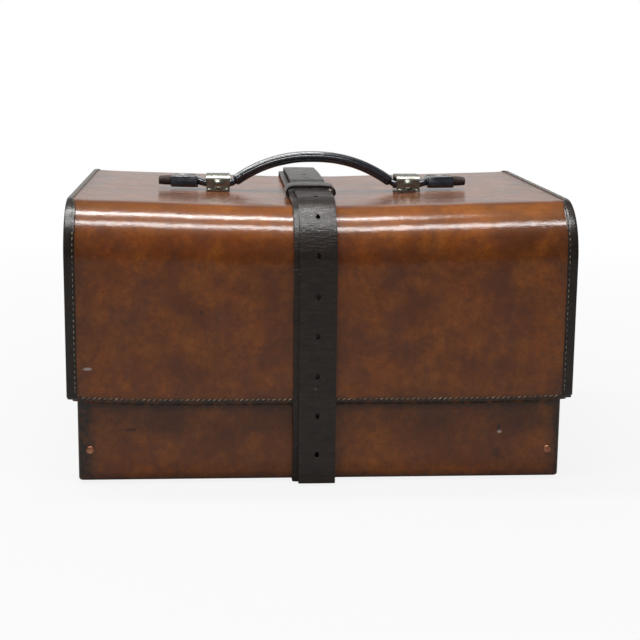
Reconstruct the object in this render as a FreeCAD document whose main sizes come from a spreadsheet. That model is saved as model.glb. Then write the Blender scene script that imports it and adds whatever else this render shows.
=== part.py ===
import FreeCAD, Part
import math
import os
import Sketcher
from types import SimpleNamespace

# A leather travel case in two telescoping halves: a deep lid slides down over a box base.
# One long strap goes round both halves. It starts at a buckle behind the lid, runs over the
# top, down the front, under the base and up the back, through the buckle and round again.
# X runs along the case, Y from front to back and Z up. The origin is on the underside of
# the strap, which is what the case stands on. All sizes are millimetres.

SIZES = {
    # Lid, over its leather
    "lid_length": 458.0,
    "lid_depth": 350.0,
    "lid_bend": 49.0,
    "lid_rear_bend": 20.0,
    "case_rise": 254.0,
    "reveal": 74.7,
    "leather": 4.0,
    # The tight strap draws the middle of the top down, so the top is a shallow saddle
    "top_dip": 6.0,
    "dip_flat": 32.0,
    "lining": 1.0,
    "facing_drop": 13.0,
    "binding_wide": 9.0,
    "binding_thick": 1.0,
    # Base, a box of flat panels that the lid slides over
    "fit_gap": 2.5,
    "panel_rise": 203.6,
    "panel_edge": 2.5,
    "rim_drop": 14.0,
    "brace_leg": 30.0,
    "brace_rise": 44.0,
    "brace_thick": 2.0,
    "rivet_inset": 11.0,
    "rivet_rise_left": 29.0,
    "rivet_rise_right": 26.0,
    "rivet_shank": 1.6,
    "rivet_head": 3.7,
    "rivet_crown": 2.2,
    "rivet_dome": 1.6,
    "burr_radius": 3.4,
    "burr_thick": 1.0,
    "shank_out": 0.6,
    # Strap
    "strap_wide": 33.5,
    "strap_thick": 3.4,
    "strap_gap": 0.3,
    "strap_lift": 1.8,
    "inner_middle": -10.0,
    "tail_middle": -5.0,
    "joint_drop": 4.0,
    "joint_gap": 0.3,
    "front_slant_bend": 60.0,
    "rear_slant_bend": 40.0,
    "rear_joint": 6.0,
    "strap_corner": 4.2,
    # The end behind the buckle, above the bar: where it leaves, comes to lie and is cut
    "fold_bend": 8.0,
    "turned_leave": 5.0,
    "turned_lie": 24.0,
    "turned_end": 36.0,
    # The tail: where it starts, goes out over the bar and comes back to the strap
    "tail_end": 3.0,
    "tail_start": 7.0,
    "tail_turn": 10.0,
    "tail_turn_bend": 6.0,
    "bar_hump": 8.0,
    "tail_bend": 12.0,
    "tail_back": 30.0,
    "tail_near": 36.0,
    "tail_home": 48.0,
    "tail_off_fold": 0.4,
    "hole_pitch": 36.5,
    "hole_first": 24.1,
    "hole_count": 6,
    "hole_radius": 1.9,
    # Behind the keeper the tail bows up off the strap
    "tail_bow": 6.0,
    "bow_bend": 40.0,
    "bow_start": 8.0,
    "bow_front": 32.0,
    "bow_rear": 76.0,
    "bow_rear_bend": 60.0,
    # Keeper, a leather loop round both layers on top of the lid
    "keeper_long": 38.0,
    "keeper_place": -52.0,
    "keeper_thick": 1.4,
    "keeper_side": 2.8,
    "keeper_play_left": 0.45,
    "keeper_play_right": 4.45,
    "keeper_play_over": 0.9,
    "keeper_bend": 3.0,
    "keeper_room_bend": 1.0,
    # Buckle
    "buckle_middle": -7.5,
    "buckle_rise": 150.0,
    "buckle_reach": 30.0,
    "buckle_stand": 6.1,
    "buckle_clear": 41.0,
    "buckle_arm": 5.0,
    "buckle_plate": 4.0,
    "buckle_over": 2.0,
    "buckle_bend": 5.0,
    "bar_radius": 2.0,
    "bar_fit": 0.05,
    "prong_ring": 3.6,
    "prong_wide": 5.0,
    "prong_root": 3.4,
    "prong_tip": 2.4,
    "prong_over": 1.0,
    "prong_slot": 7.6,
    "slot_above": 6.0,
    "slot_below": 17.0,
    "tail_slot_above": 4.0,
    # Handle and the two loops that hold it
    "handle_place": -8.0,
    "loop_middle": 94.0,
    "loop_long": 23.0,
    "loop_deep": 32.0,
    "loop_rise": 15.0,
    "loop_wall": 2.5,
    "loop_bend": 5.0,
    "foot_long": 4.5,
    "foot_thick": 1.5,
    "stud_radius": 5.2,
    "stud_crown": 3.0,
    "stud_dome": 3.6,
    "stud_shank": 2.0,
    "stud_rise": 6.6,
    "pin_side": 2.4,
    "pin_head": 4.0,
    "pin_head_thick": 0.8,
    "pin_spread": 8.2,
    "shank_fit": 0.05,
    "plate_long": 44.0,
    "plate_deep": 56.0,
    "plate_thick": 4.0,
    "plate_fit": 0.1,
    "loop_fit": 0.05,
    "neck_rise": 6.3,
    "core_thick": 7.0,
    "core_wide": 18.0,
    "neck_play": 0.8,
    "arch_foot": 80.0,
    "arch_knee": 42.0,
    "arch_rise": 26.2,
    "knee_bend": 125.0,
    "foot_bend": 18.0,
    "grip_thick": 10.4,
    "grip_wide": 22.0,
    "grip_ease": 2.4,
    "grip_short": 4.5,
    "cover_fit": 0.1,
    "neck_show": 8.0,
    "neck_bend": 12.0,
    "tab_lift": 2.3,
    "tab_long": 27.0,
    "tab_wide": 32.0,
    "tab_nose": 22.0,
    "tab_thick": 11.0,
    "tab_round": 4.0,
    "end_long": 12.0,
    "end_inset": 1.0,
    "end_bend": 2.0,
}

PEG_SIDES = 12

# Lengths below this are the same
TINY = 0.01

doc = FreeCAD.newDocument("TravelCase")
sheet = doc.addObject("Spreadsheet::Sheet", "Sizes")


class Measure:
    # A length with its number and the sheet formula that it comes from
    def __init__(self, formula, number):
        self.formula = formula
        self.number = number

    def combine(self, sign, other, number):
        return Measure("(%s %s %s)" % (self.formula, sign, other.formula), number)

    def __add__(self, other):
        other = measure(other)
        return self.combine("+", other, self.number + other.number)

    def __sub__(self, other):
        other = measure(other)
        return self.combine("-", other, self.number - other.number)

    def __mul__(self, other):
        other = measure(other)
        return self.combine("*", other, self.number * other.number)

    def __truediv__(self, other):
        other = measure(other)
        return self.combine("/", other, self.number / other.number)

    def __neg__(self):
        return Measure("(0 - %s)" % self.formula, -self.number)

    def __radd__(self, other):
        return measure(other) + self

    def __rsub__(self, other):
        return measure(other) - self

    def __rmul__(self, other):
        return measure(other) * self


def measure(value):
    if isinstance(value, Measure):
        return value
    return Measure("%g" % value, float(value))


def fill_sheet():
    for row, (alias, value) in enumerate(SIZES.items(), start=1):
        sheet.set("A%d" % row, alias)
        sheet.set("B%d" % row, str(value))
        sheet.setAlias("B%d" % row, alias)
    doc.recompute()
    return SimpleNamespace(**{alias: Measure("Sizes." + alias, value) for alias, value in SIZES.items()})


s = fill_sheet()

# How far a cutting solid runs on past the piece that it cuts
spare = measure(1)

# Heights above the floor, from the strap up
base_low = s.strap_thick
lid_top = base_low + s.case_rise
lid_low = base_low + s.reveal
panel_top = base_low + s.panel_rise
dip_top = lid_top - s.top_dip
half_length = s.lid_length / 2
half_depth = s.lid_depth / 2
inner_half = half_length - s.leather
base_half = half_length - s.leather - s.lining - s.fit_gap
base_deep = half_depth - s.leather - s.lining - s.fit_gap
strap_mid = s.strap_gap + s.strap_thick / 2
tail_mid = strap_mid + s.strap_thick + s.strap_gap


def dip_at(station):
    # The saddle falls evenly from each end of the lid to the flat under the strap
    return s.top_dip * (half_length - station) / (half_length - s.dip_flat)


def bind(target, path, length):
    target.setExpression(path, measure(length).formula)


def origin_plane(body, role):
    return [item for item in body.Origin.OriginFeatures if item.Role == role][0]


def new_body(name):
    body = doc.addObject("PartDesign::Body", name)
    body.Label = name
    return body


def new_sketch(body, role, station):
    sketch = body.newObject("Sketcher::SketchObject", body.Name + "_sketch")
    sketch.AttachmentSupport = (origin_plane(body, role), [""])
    sketch.MapMode = "FlatFace"
    bind(sketch, "AttachmentOffset.Base.z", station)
    return sketch


def tie_point(sketch, geometry, end, u, v, label):
    # Holds one point of a sketch at a distance from the origin along both of its axes
    for kind, value, axis in (("DistanceX", measure(u), "u"), ("DistanceY", measure(v), "v")):
        place = Sketcher.Constraint(kind, -1, 1, geometry, end, value.number)
        index = sketch.addConstraint(place)
        sketch.renameConstraint(index, axis + label)
        bind(sketch, "Constraints." + axis + label, value)


def draw_outline(sketch, corners):
    # Each corner is (u, v, turn). turn says how the edge to the next corner runs: "line", or a
    # quarter turn whose centre lies beside its start ("rise") or beside its end ("fall").
    first = sketch.GeometryCount
    count = len(corners)
    starts = []
    ends = []
    for index, (u, v, turn) in enumerate(corners):
        next_u, next_v, _ = corners[(index + 1) % count]
        here = FreeCAD.Vector(measure(u).number, measure(v).number, 0)
        there = FreeCAD.Vector(measure(next_u).number, measure(next_v).number, 0)
        if turn == "line":
            geometry = sketch.addGeometry(Part.LineSegment(here, there))
            starts.append((geometry, 1))
            ends.append((geometry, 2))
            continue
        if turn == "rise":
            centre = FreeCAD.Vector(there.x, here.y, 0)
        else:
            centre = FreeCAD.Vector(here.x, there.y, 0)
        begin = math.atan2(here.y - centre.y, here.x - centre.x)
        finish = math.atan2(there.y - centre.y, there.x - centre.x)
        anticlockwise = (here - centre).cross(there - centre).z > 0
        circle = Part.Circle(centre, FreeCAD.Vector(0, 0, 1), (here - centre).Length)
        if anticlockwise:
            geometry = sketch.addGeometry(Part.ArcOfCircle(circle, begin, finish))
            starts.append((geometry, 1))
            ends.append((geometry, 2))
        else:
            geometry = sketch.addGeometry(Part.ArcOfCircle(circle, finish, begin))
            starts.append((geometry, 2))
            ends.append((geometry, 1))
    for index in range(count):
        sketch.addConstraint(Sketcher.Constraint("Coincident", *ends[index], *starts[(index + 1) % count]))
    for index, (u, v, turn) in enumerate(corners):
        tie_point(sketch, *starts[index], u, v, "%d" % (first + index))
        if turn == "rise":
            sketch.addConstraint(Sketcher.Constraint("Vertical", starts[index][0], 3, *ends[index]))
        elif turn == "fall":
            sketch.addConstraint(Sketcher.Constraint("Vertical", starts[index][0], 3, *starts[index]))


def rectangle(low_u, low_v, high_u, high_v):
    return [
        (low_u, low_v, "line"),
        (high_u, low_v, "line"),
        (high_u, high_v, "line"),
        (low_u, high_v, "line"),
    ]


def rounded(low_u, low_v, high_u, high_v, bend):
    return [
        (low_u, high_v - bend, "rise"),
        (low_u + bend, high_v, "line"),
        (high_u - bend, high_v, "fall"),
        (high_u, high_v - bend, "line"),
        (high_u, low_v + bend, "rise"),
        (high_u - bend, low_v, "line"),
        (low_u + bend, low_v, "fall"),
        (low_u, low_v + bend, "line"),
    ]


def add_pad(body, sketch, length):
    pad = body.newObject("PartDesign::Pad", body.Name + "_pad")
    pad.Profile = sketch
    bind(pad, "Length", length)
    doc.recompute()
    return pad


def add_pocket(body, sketch, length):
    # The pocket is cut along the sketch's own normal, towards the far side of the piece
    before = body.Shape.Volume
    pocket = body.newObject("PartDesign::Pocket", body.Name + "_pocket")
    pocket.Profile = sketch
    pocket.Reversed = True
    bind(pocket, "Length", length)
    doc.recompute()
    if body.Shape.Volume > before - TINY:
        raise RuntimeError(body.Name + ": the pocket cuts nothing")
    return pocket


def prism(name, role, station, length, *outlines):
    body = new_body(name)
    sketch = new_sketch(body, role, station)
    for corners in outlines:
        draw_outline(sketch, corners)
    add_pad(body, sketch, length)
    return body


def cut_prism(body, role, station, length, *outlines):
    sketch = new_sketch(body, role, station)
    for corners in outlines:
        draw_outline(sketch, corners)
    add_pocket(body, sketch, length)


def drill(body, role, station, length, centres, radius):
    sketch = new_sketch(body, role, station)
    for index, (u, v) in enumerate(centres):
        middle = FreeCAD.Vector(measure(u).number, measure(v).number, 0)
        circle = Part.Circle(middle, FreeCAD.Vector(0, 0, 1), measure(radius).number)
        geometry = sketch.addGeometry(circle)
        tie_point(sketch, geometry, 3, u, v, "%d" % index)
        size = sketch.addConstraint(Sketcher.Constraint("Radius", geometry, measure(radius).number))
        sketch.renameConstraint(size, "round%d" % index)
        bind(sketch, "Constraints.round%d" % index, radius)
    add_pocket(body, sketch, length)


def punch(body, role, station, length, centres, side):
    # Square holes, for the square pins
    half = side / 2
    squares = [rectangle(u - half, v - half, u + half, v + half) for u, v in centres]
    cut_prism(body, role, station, length, *squares)


def round_edges(body, radius, wanted):
    feature = body.Tip
    edges = ["Edge%d" % (index + 1) for index, edge in enumerate(feature.Shape.Edges) if wanted(edge)]
    if not edges:
        raise RuntimeError(body.Name + ": no edge to round")
    fillet = body.newObject("PartDesign::Fillet", body.Name + "_fillet")
    fillet.Base = (feature, edges)
    bind(fillet, "Radius", radius)
    doc.recompute()


def box_solid(name, low, high):
    box = doc.addObject("Part::Box", name)
    for axis, side, start, finish in zip("xyz", ("Length", "Width", "Height"), low, high):
        bind(box, side, measure(finish) - start)
        bind(box, "Placement.Base." + axis, start)
    return box


def peg_solid(name, centre, radius, length):
    # A round peg along Y, drawn with few sides because it is small
    peg = doc.addObject("Part::Prism", name)
    peg.Placement = FreeCAD.Placement(FreeCAD.Vector(), FreeCAD.Rotation(FreeCAD.Vector(1, 0, 0), -90))
    peg.Polygon = PEG_SIDES
    bind(peg, "Circumradius", radius)
    bind(peg, "Height", length)
    for letter, value in zip("xyz", centre):
        bind(peg, "Placement.Base." + letter, value)
    return peg


def cone_solid(name, centre, wide, narrow, length, way):
    # A flat-topped cone along Y that stands on a wall and narrows away from it
    cone = doc.addObject("Part::Cone", name)
    turn = FreeCAD.Rotation(FreeCAD.Vector(1, 0, 0), -90 * way)
    cone.Placement = FreeCAD.Placement(FreeCAD.Vector(), turn)
    bind(cone, "Radius1", wide)
    bind(cone, "Radius2", narrow)
    bind(cone, "Height", length)
    for letter, value in zip("xyz", centre):
        bind(cone, "Placement.Base." + letter, value)
    return cone


def cut_solid(name, base, tool):
    cut = doc.addObject("Part::Cut", name)
    cut.Base = base
    cut.Tool = tool
    return cut


def fuse_solids(name, first, second):
    fuse = doc.addObject("Part::Fuse", name)
    fuse.Base = first
    fuse.Tool = second
    return fuse


def join_solids(name, solids):
    join = doc.addObject("Part::Compound", name)
    join.Links = solids
    return join


# Saddle profile of the lid

def saddle(station, dip, grow, low):
    # The lid's section at one station, grown outwards or inwards from the leather's outside
    side = half_depth + grow
    top = lid_top - dip + grow
    bend = s.lid_bend + grow
    rear_bend = s.lid_rear_bend + grow
    return [
        (-side, low, "line"),
        (-side, top - bend, "rise"),
        (-side + bend, top, "line"),
        (side - rear_bend, top, "fall"),
        (side, top - rear_bend, "line"),
        (side, low, "line"),
    ]


def add_loft(body, kind, stations, grow, low):
    sketches = []
    for station, dip in stations:
        sketch = new_sketch(body, "YZ_Plane", station)
        draw_outline(sketch, saddle(station, dip, grow, low))
        sketches.append(sketch)
    loft = body.newObject("PartDesign::" + kind, body.Name + "_loft")
    loft.Profile = sketches[0]
    loft.Sections = sketches[1:]
    loft.Ruled = True
    doc.recompute()


def full_saddle(reach):
    return [
        (-reach, dip_at(reach)),
        (-s.dip_flat, s.top_dip),
        (s.dip_flat, s.top_dip),
        (reach, dip_at(reach)),
    ]


def end_saddle(side, outer, inner):
    return [(side * outer, dip_at(outer)), (side * inner, dip_at(inner))]


# Strap bands

def band_edges(points, offset):
    # One side of a band: the path moved sideways, with its corners as arcs. A point is
    # (a, b, bend), in the plane that the band is drawn in.
    edges = []
    cursor = None
    for index, (a, b, bend) in enumerate(points):
        here = FreeCAD.Vector(a, b, 0)
        if index in (0, len(points) - 1):
            other = points[1] if index == 0 else points[-2]
            line = FreeCAD.Vector(other[0], other[1], 0) - here
            if index:
                line = -line
            line.normalize()
            spot = here + FreeCAD.Vector(-line.y, line.x, 0) * offset
            if cursor is not None and (spot - cursor).Length > TINY:
                edges.append(Part.LineSegment(cursor, spot).toShape())
            cursor = spot
            continue
        into = here - FreeCAD.Vector(points[index - 1][0], points[index - 1][1], 0)
        out = FreeCAD.Vector(points[index + 1][0], points[index + 1][1], 0) - here
        into.normalize()
        out.normalize()
        turn = math.atan2(into.x * out.y - into.y * out.x, into.dot(out))
        reach = bend * math.tan(abs(turn) / 2)
        side = 1 if turn > 0 else -1
        radius = bend - side * offset
        start = here - into * reach + FreeCAD.Vector(-into.y, into.x, 0) * offset
        finish = here + out * reach + FreeCAD.Vector(-out.y, out.x, 0) * offset
        centre = here - into * reach + FreeCAD.Vector(-into.y, into.x, 0) * (side * bend)
        middle = (start + finish) * 0.5 - centre
        middle.normalize()
        if (start - cursor).Length > TINY:
            edges.append(Part.LineSegment(cursor, start).toShape())
        edges.append(Part.Arc(start, centre + middle * radius, finish).toShape())
        cursor = finish
    return edges


def band(points, thick, low, wide, plane):
    # A flat strip of one thickness that follows a path, as wide as the piece is
    numbers = [tuple(measure(value).number for value in point) for point in points]
    half = measure(thick).number / 2
    left = band_edges(numbers, half)
    right = band_edges(numbers, -half)
    caps = []
    for index in (0, -1):
        first = left[index].Vertexes[index].Point
        second = right[index].Vertexes[index].Point
        caps.append(Part.LineSegment(first, second).toShape())
    face = Part.Face(Part.Wire(left + caps[1:] + right[::-1] + caps[:1]))
    if plane == "YZ":
        matrix = FreeCAD.Matrix(0, 0, 1, measure(low).number, 1, 0, 0, 0, 0, 1, 0, 0)
        reach = FreeCAD.Vector(measure(wide).number, 0, 0)
    else:
        matrix = FreeCAD.Matrix(1, 0, 0, 0, 0, 0, -1, measure(low).number, 0, 1, 0, 0)
        reach = FreeCAD.Vector(0, measure(wide).number, 0)
    face.Placement = FreeCAD.Placement(matrix)
    return face.extrude(reach)


def shaped_feature(name, shape):
    feature = doc.addObject("Part::Feature", name)
    feature.Shape = shape
    feature.Placement = FreeCAD.Placement()
    return feature


def block(low, high):
    corner = FreeCAD.Vector(*[measure(value).number for value in low])
    sides = [measure(high[axis]).number - measure(low[axis]).number for axis in range(3)]
    return Part.makeBox(*sides, corner)


def rod(centre, radius, reach):
    # A round bar from centre along the vector reach
    start = FreeCAD.Vector(*[measure(value).number for value in centre])
    line = FreeCAD.Vector(*[measure(value).number for value in reach])
    return Part.makeCylinder(measure(radius).number, line.Length, start, line)


# Base

def rivet_places():
    # The left rivets were set a little higher than the right ones
    reach = base_half - s.rivet_inset
    return [(-reach, base_low + s.rivet_rise_left), (reach, base_low + s.rivet_rise_right)]


def outer_bottom_edges(edge):
    return abs(edge.BoundBox.ZMax - base_low.number) < TINY


def make_base_panels():
    low_z = base_low
    inside = base_half - s.leather
    prism("base_bottom", "XY_Plane", low_z, s.leather, rectangle(
        -inside, -base_deep + s.leather, inside, base_deep - s.leather))
    for name, side in (("base_front_panel", -1), ("base_rear_panel", 1)):
        outer = base_deep * side
        inner = (base_deep - s.leather) * side
        low_y, high_y = (outer, inner) if side < 0 else (inner, outer)
        corners = rectangle(low_y, low_z, high_y, panel_top)
        body = prism(name, "YZ_Plane", -inside, inside * 2, corners)
        edge_y = outer.number
        round_edges(body, s.panel_edge, lambda edge: outer_bottom_edges(edge)
                    and abs(edge.BoundBox.Center.y - edge_y) < TINY)
    for name, side in (("base_end_left", -1), ("base_end_right", 1)):
        station = -base_half if side < 0 else inside
        corners = rectangle(-base_deep, low_z, base_deep, panel_top)
        body = prism(name, "YZ_Plane", station, s.leather, corners)
        edge_x = base_half.number * side
        round_edges(body, s.panel_edge, lambda edge: outer_bottom_edges(edge)
                    and abs(edge.BoundBox.Center.x - edge_x) < TINY)
    for name, start in (("base_front_panel", base_deep - s.leather), ("base_rear_panel", -base_deep)):
        drill(doc.getObject(name), "XZ_Plane", start - spare, s.leather + spare * 2, rivet_places(),
              s.rivet_shank + s.shank_fit)


def make_rim_binding():
    # A strip folded over the panels' upper edges, with a leg inside and a leg outside
    low = panel_top - s.rim_drop
    high = panel_top + s.binding_thick
    out_x = base_half + s.binding_thick
    out_y = base_deep + s.binding_thick
    in_x = base_half - s.leather - s.binding_thick
    in_y = base_deep - s.leather - s.binding_thick
    body = prism("base_rim_binding", "XY_Plane", low, high - low,
                 rectangle(-out_x, -out_y, out_x, out_y), rectangle(-in_x, -in_y, in_x, in_y))
    cut_prism(body, "XY_Plane", low, s.rim_drop,
              rectangle(-base_half, -base_deep, base_half, base_deep),
              rectangle(-base_half + s.leather, -base_deep + s.leather,
                        base_half - s.leather, base_deep - s.leather))


def make_base_lining():
    low = base_low + s.leather
    high = panel_top - s.rim_drop
    out_x = base_half - s.leather
    out_y = base_deep - s.leather
    body = prism("base_lining", "XY_Plane", low, high - low, rectangle(-out_x, -out_y, out_x, out_y))
    in_x = out_x - s.lining
    in_y = out_y - s.lining
    cut_prism(body, "XY_Plane", low + s.lining, high - low, rectangle(-in_x, -in_y, in_x, in_y))
    drill(body, "XZ_Plane", -out_y - spare, (out_y + spare) * 2, rivet_places(),
          s.rivet_shank + s.shank_fit)


def in_order(first, second):
    return (first, second) if first.number < second.number else (second, first)


def make_corner_fastenings():
    # A riveted leather brace stands in each lower corner, behind the copper rivet heads
    wall_x = base_half - s.leather - s.lining
    wall_y = base_deep - s.leather - s.lining
    low = base_low + s.leather + s.lining
    high = low + s.brace_rise
    through = s.leather + s.lining + s.brace_thick + s.burr_thick + s.shank_out
    braces = []
    rivets = []
    burrs = []
    for side_x, (place_x, place_z) in zip((-1, 1), rivet_places()):
        for side_y in (-1, 1):
            tag = "_%s_%s" % ("left" if side_x < 0 else "right", "front" if side_y < 0 else "rear")
            near_x = in_order((wall_x - s.brace_leg) * side_x, wall_x * side_x)
            near_y = in_order((wall_y - s.brace_leg) * side_y, wall_y * side_y)
            room_x = in_order((wall_x - s.brace_leg - spare) * side_x, (wall_x - s.brace_thick) * side_x)
            room_y = in_order((wall_y - s.brace_leg - spare) * side_y, (wall_y - s.brace_thick) * side_y)
            angle = cut_solid(
                "angle" + tag,
                box_solid("angle_block" + tag, (near_x[0], near_y[0], low), (near_x[1], near_y[1], high)),
                box_solid("angle_room" + tag, (room_x[0], room_y[0], low - spare),
                          (room_x[1], room_y[1], high + spare)))
            outer_y = base_deep * side_y
            spot = (place_x, outer_y if side_y < 0 else outer_y - through, place_z)
            braces.append(cut_solid("brace" + tag, angle, peg_solid("hole" + tag, spot, s.rivet_shank, through)))
            rivets.append(fuse_solids(
                "rivet" + tag, peg_solid("shank" + tag, spot, s.rivet_shank, through),
                cone_solid("head" + tag, (place_x, outer_y, place_z), s.rivet_head, s.rivet_crown,
                           s.rivet_dome, side_y)))
            burr_y = (wall_y - s.brace_thick) * side_y
            burr_spot = (place_x, burr_y if side_y < 0 else burr_y - s.burr_thick, place_z)
            burrs.append(cut_solid(
                "burr" + tag, peg_solid("disc" + tag, burr_spot, s.burr_radius, s.burr_thick),
                peg_solid("bore" + tag, spot, s.rivet_shank, through)))
    join_solids("base_corner_braces", braces)
    join_solids("base_corner_rivets", rivets)
    join_solids("base_rivet_burrs", burrs)


# Lid

def pin_places(middle):
    # Four pins hold each loop, two through each of its feet
    reach = s.loop_deep / 2 + s.foot_long / 2
    return [(middle + s.pin_spread * along, s.handle_place + reach * way)
            for along in (-1, 1) for way in (-1, 1)]


def pierce_for_pins(body):
    low = dip_top - s.leather * 2 - s.lining * 2
    places = pin_places(-s.loop_middle) + pin_places(s.loop_middle)
    punch(body, "XY_Plane", low, lid_top - low + spare, places, s.pin_side + s.shank_fit * 2)


def make_lid_cover():
    body = new_body("lid_cover")
    add_loft(body, "AdditiveLoft", full_saddle(inner_half), 0, lid_low)
    add_loft(body, "SubtractiveLoft", full_saddle(inner_half), -s.leather, lid_low - spare)
    pierce_for_pins(body)
    for name, side in (("lid_end_left", -1), ("lid_end_right", 1)):
        end = new_body(name)
        add_loft(end, "AdditiveLoft", end_saddle(side, half_length, inner_half), 0, lid_low)


def make_lid_bindings():
    # An edge strip folded round each end seam, from the lower edge over the top and down again
    outer = half_length + s.binding_thick
    inner = outer - s.binding_wide
    for name, side in (("lid_binding_left", -1), ("lid_binding_right", 1)):
        body = new_body(name)
        add_loft(body, "AdditiveLoft", end_saddle(side, outer, inner), s.binding_thick, lid_low)
        low = lid_low - spare
        add_loft(body, "SubtractiveLoft", end_saddle(side, half_length, inner - spare), 0, low)
        face = s.binding_thick - s.binding_wide
        add_loft(body, "SubtractiveLoft", end_saddle(side, outer + spare, half_length - spare), face, low)


def make_lid_facing_and_lining():
    out_y = half_depth - s.leather
    in_x = inner_half - s.lining
    in_y = out_y - s.lining
    prism("lid_facing", "XY_Plane", lid_low, s.facing_drop,
          rectangle(-inner_half, -out_y, inner_half, out_y), rectangle(-in_x, -in_y, in_x, in_y))
    body = new_body("lid_lining")
    low = lid_low + s.facing_drop
    add_loft(body, "AdditiveLoft", full_saddle(inner_half), -s.leather, low)
    room = full_saddle(inner_half - s.lining)
    add_loft(body, "SubtractiveLoft", room, -s.leather - s.lining, low - spare)
    pierce_for_pins(body)


# Handle loops

loop_floor = lid_top - dip_at(s.loop_middle + s.loop_long / 2) + s.loop_fit


def loop_outline():
    # A bridge: two feet, two walls and a rounded top, with the opening under it
    side = s.loop_deep / 2
    inner = side - s.loop_wall
    foot = side + s.foot_long
    mid = s.handle_place
    top = loop_floor + s.loop_rise
    inner_bend = s.loop_bend - s.loop_wall
    return [
        (mid - foot, loop_floor, "line"),
        (mid - foot, loop_floor + s.foot_thick, "line"),
        (mid - side, loop_floor + s.foot_thick, "line"),
        (mid - side, top - s.loop_bend, "rise"),
        (mid - side + s.loop_bend, top, "line"),
        (mid + side - s.loop_bend, top, "fall"),
        (mid + side, top - s.loop_bend, "line"),
        (mid + side, loop_floor + s.foot_thick, "line"),
        (mid + foot, loop_floor + s.foot_thick, "line"),
        (mid + foot, loop_floor, "line"),
        (mid + inner, loop_floor, "line"),
        (mid + inner, top - s.loop_bend, "rise"),
        (mid + inner - inner_bend, top - s.loop_wall, "line"),
        (mid - inner + inner_bend, top - s.loop_wall, "fall"),
        (mid - inner, top - s.loop_bend, "line"),
        (mid - inner, loop_floor, "line"),
    ]


def make_loops():
    studs = []
    pins = []
    for side, tag in ((-1, "left"), (1, "right")):
        start = s.loop_middle * side - s.loop_long / 2
        body = prism("handle_loop_" + tag, "YZ_Plane", start, s.loop_long, loop_outline())
        middle = s.loop_middle * side
        drill(body, "XZ_Plane", -(s.handle_place + s.loop_deep), s.loop_deep * 2,
              [(middle, loop_floor + s.stud_rise)], s.stud_shank + s.shank_fit)
        punch(body, "XY_Plane", loop_floor - spare, s.foot_thick + spare * 2, pin_places(middle),
              s.pin_side + s.shank_fit * 2)
        for way in (-1, 1):
            studs.append(make_stud(tag, middle, way))
        for index, place in enumerate(pin_places(middle)):
            pins.append(make_pin("pin_%s_%d" % (tag, index), place))
        make_plate(tag, middle)
    join_solids("loop_studs", studs)
    join_solids("loop_pins", pins)


def make_stud(tag, middle, way):
    # A raised head outside the loop's wall, with its shank riveted flush inside
    name = "stud_%s_%s" % (tag, "near" if way < 0 else "far")
    wall_out = s.handle_place + s.loop_deep / 2 * way
    height = loop_floor + s.stud_rise
    start = wall_out if way < 0 else wall_out - s.loop_wall
    return fuse_solids(
        name, peg_solid(name + "_shank", (middle, start, height), s.stud_shank, s.loop_wall),
        cone_solid(name + "_head", (middle, wall_out, height), s.stud_radius, s.stud_crown, s.stud_dome, way))


def plate_top():
    return lid_top - dip_at(s.loop_middle - s.plate_long / 2) - s.leather - s.lining - s.plate_fit


def make_plate(tag, middle):
    low = plate_top() - s.plate_thick
    body = prism("loop_plate_" + tag, "XY_Plane", low, s.plate_thick, rectangle(
        middle - s.plate_long / 2, s.handle_place - s.plate_deep / 2,
        middle + s.plate_long / 2, s.handle_place + s.plate_deep / 2))
    punch(body, "XY_Plane", low - spare, s.plate_thick + spare * 2, pin_places(middle),
          s.pin_side + s.shank_fit * 2)


def make_pin(name, place):
    # A square pin from the loop's foot down through the plate inside the lid, headed at both ends
    x, y = place
    foot_top = loop_floor + s.foot_thick
    low = plate_top() - s.plate_thick
    pin = doc.addObject("Part::MultiFuse", name)
    pin.Shapes = [
        square_solid(name + "_shank", x, y, s.pin_side, low, foot_top),
        square_solid(name + "_head", x, y, s.pin_head, foot_top, foot_top + s.pin_head_thick),
        square_solid(name + "_clench", x, y, s.pin_head, low - s.pin_head_thick, low),
    ]
    return pin


def square_solid(name, x, y, side, low, high):
    half = side / 2
    return box_solid(name, (x - half, y - half, low), (x + half, y + half, high))


# Strap, buckle and keeper

bar_y = half_depth + s.buckle_stand
far_rise = s.buckle_rise - s.buckle_reach
strap_top = dip_top + strap_mid + s.strap_lift
tail_top = strap_top + s.strap_thick + s.strap_gap
inner_joint = strap_top - s.lid_bend - strap_mid - s.joint_drop
inner_left = s.inner_middle - s.strap_wide / 2
tail_left = s.tail_middle - s.strap_wide / 2


def make_strap_upper():
    # The inner layer, with its end folded round the buckle's bar and turned back up
    face = half_depth + strap_mid
    fold = bar_y - face
    bend = s.lid_bend + strap_mid
    rear_bend = s.lid_rear_bend + strap_mid
    turned = face + s.strap_thick + s.cover_fit
    path = [
        (-face, inner_joint, 0),
        (-face, strap_top, bend),
        (face, strap_top, rear_bend),
        (face, s.buckle_rise - fold, fold),
        (bar_y + fold, s.buckle_rise - fold, fold),
        (bar_y + fold, s.buckle_rise + s.turned_leave, s.fold_bend),
        (turned, s.buckle_rise + s.turned_lie, s.fold_bend),
        (turned, s.buckle_rise + s.turned_end, 0),
    ]
    strap = band(path, s.strap_thick, inner_left, s.strap_wide, "YZ")
    slot = prong_room(s.buckle_rise - fold * 2, s.buckle_rise + s.slot_above)
    shaped_feature("strap_upper", strap.cut(slot))


def prong_room(low, high):
    # The slot that the prong comes through, right through the strap's layers
    half = s.prong_slot / 2
    near = half_depth - spare
    far = bar_y + s.buckle_stand * 3
    return block((s.buckle_middle - half, near, low), (s.buckle_middle + half, far, high))


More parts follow.
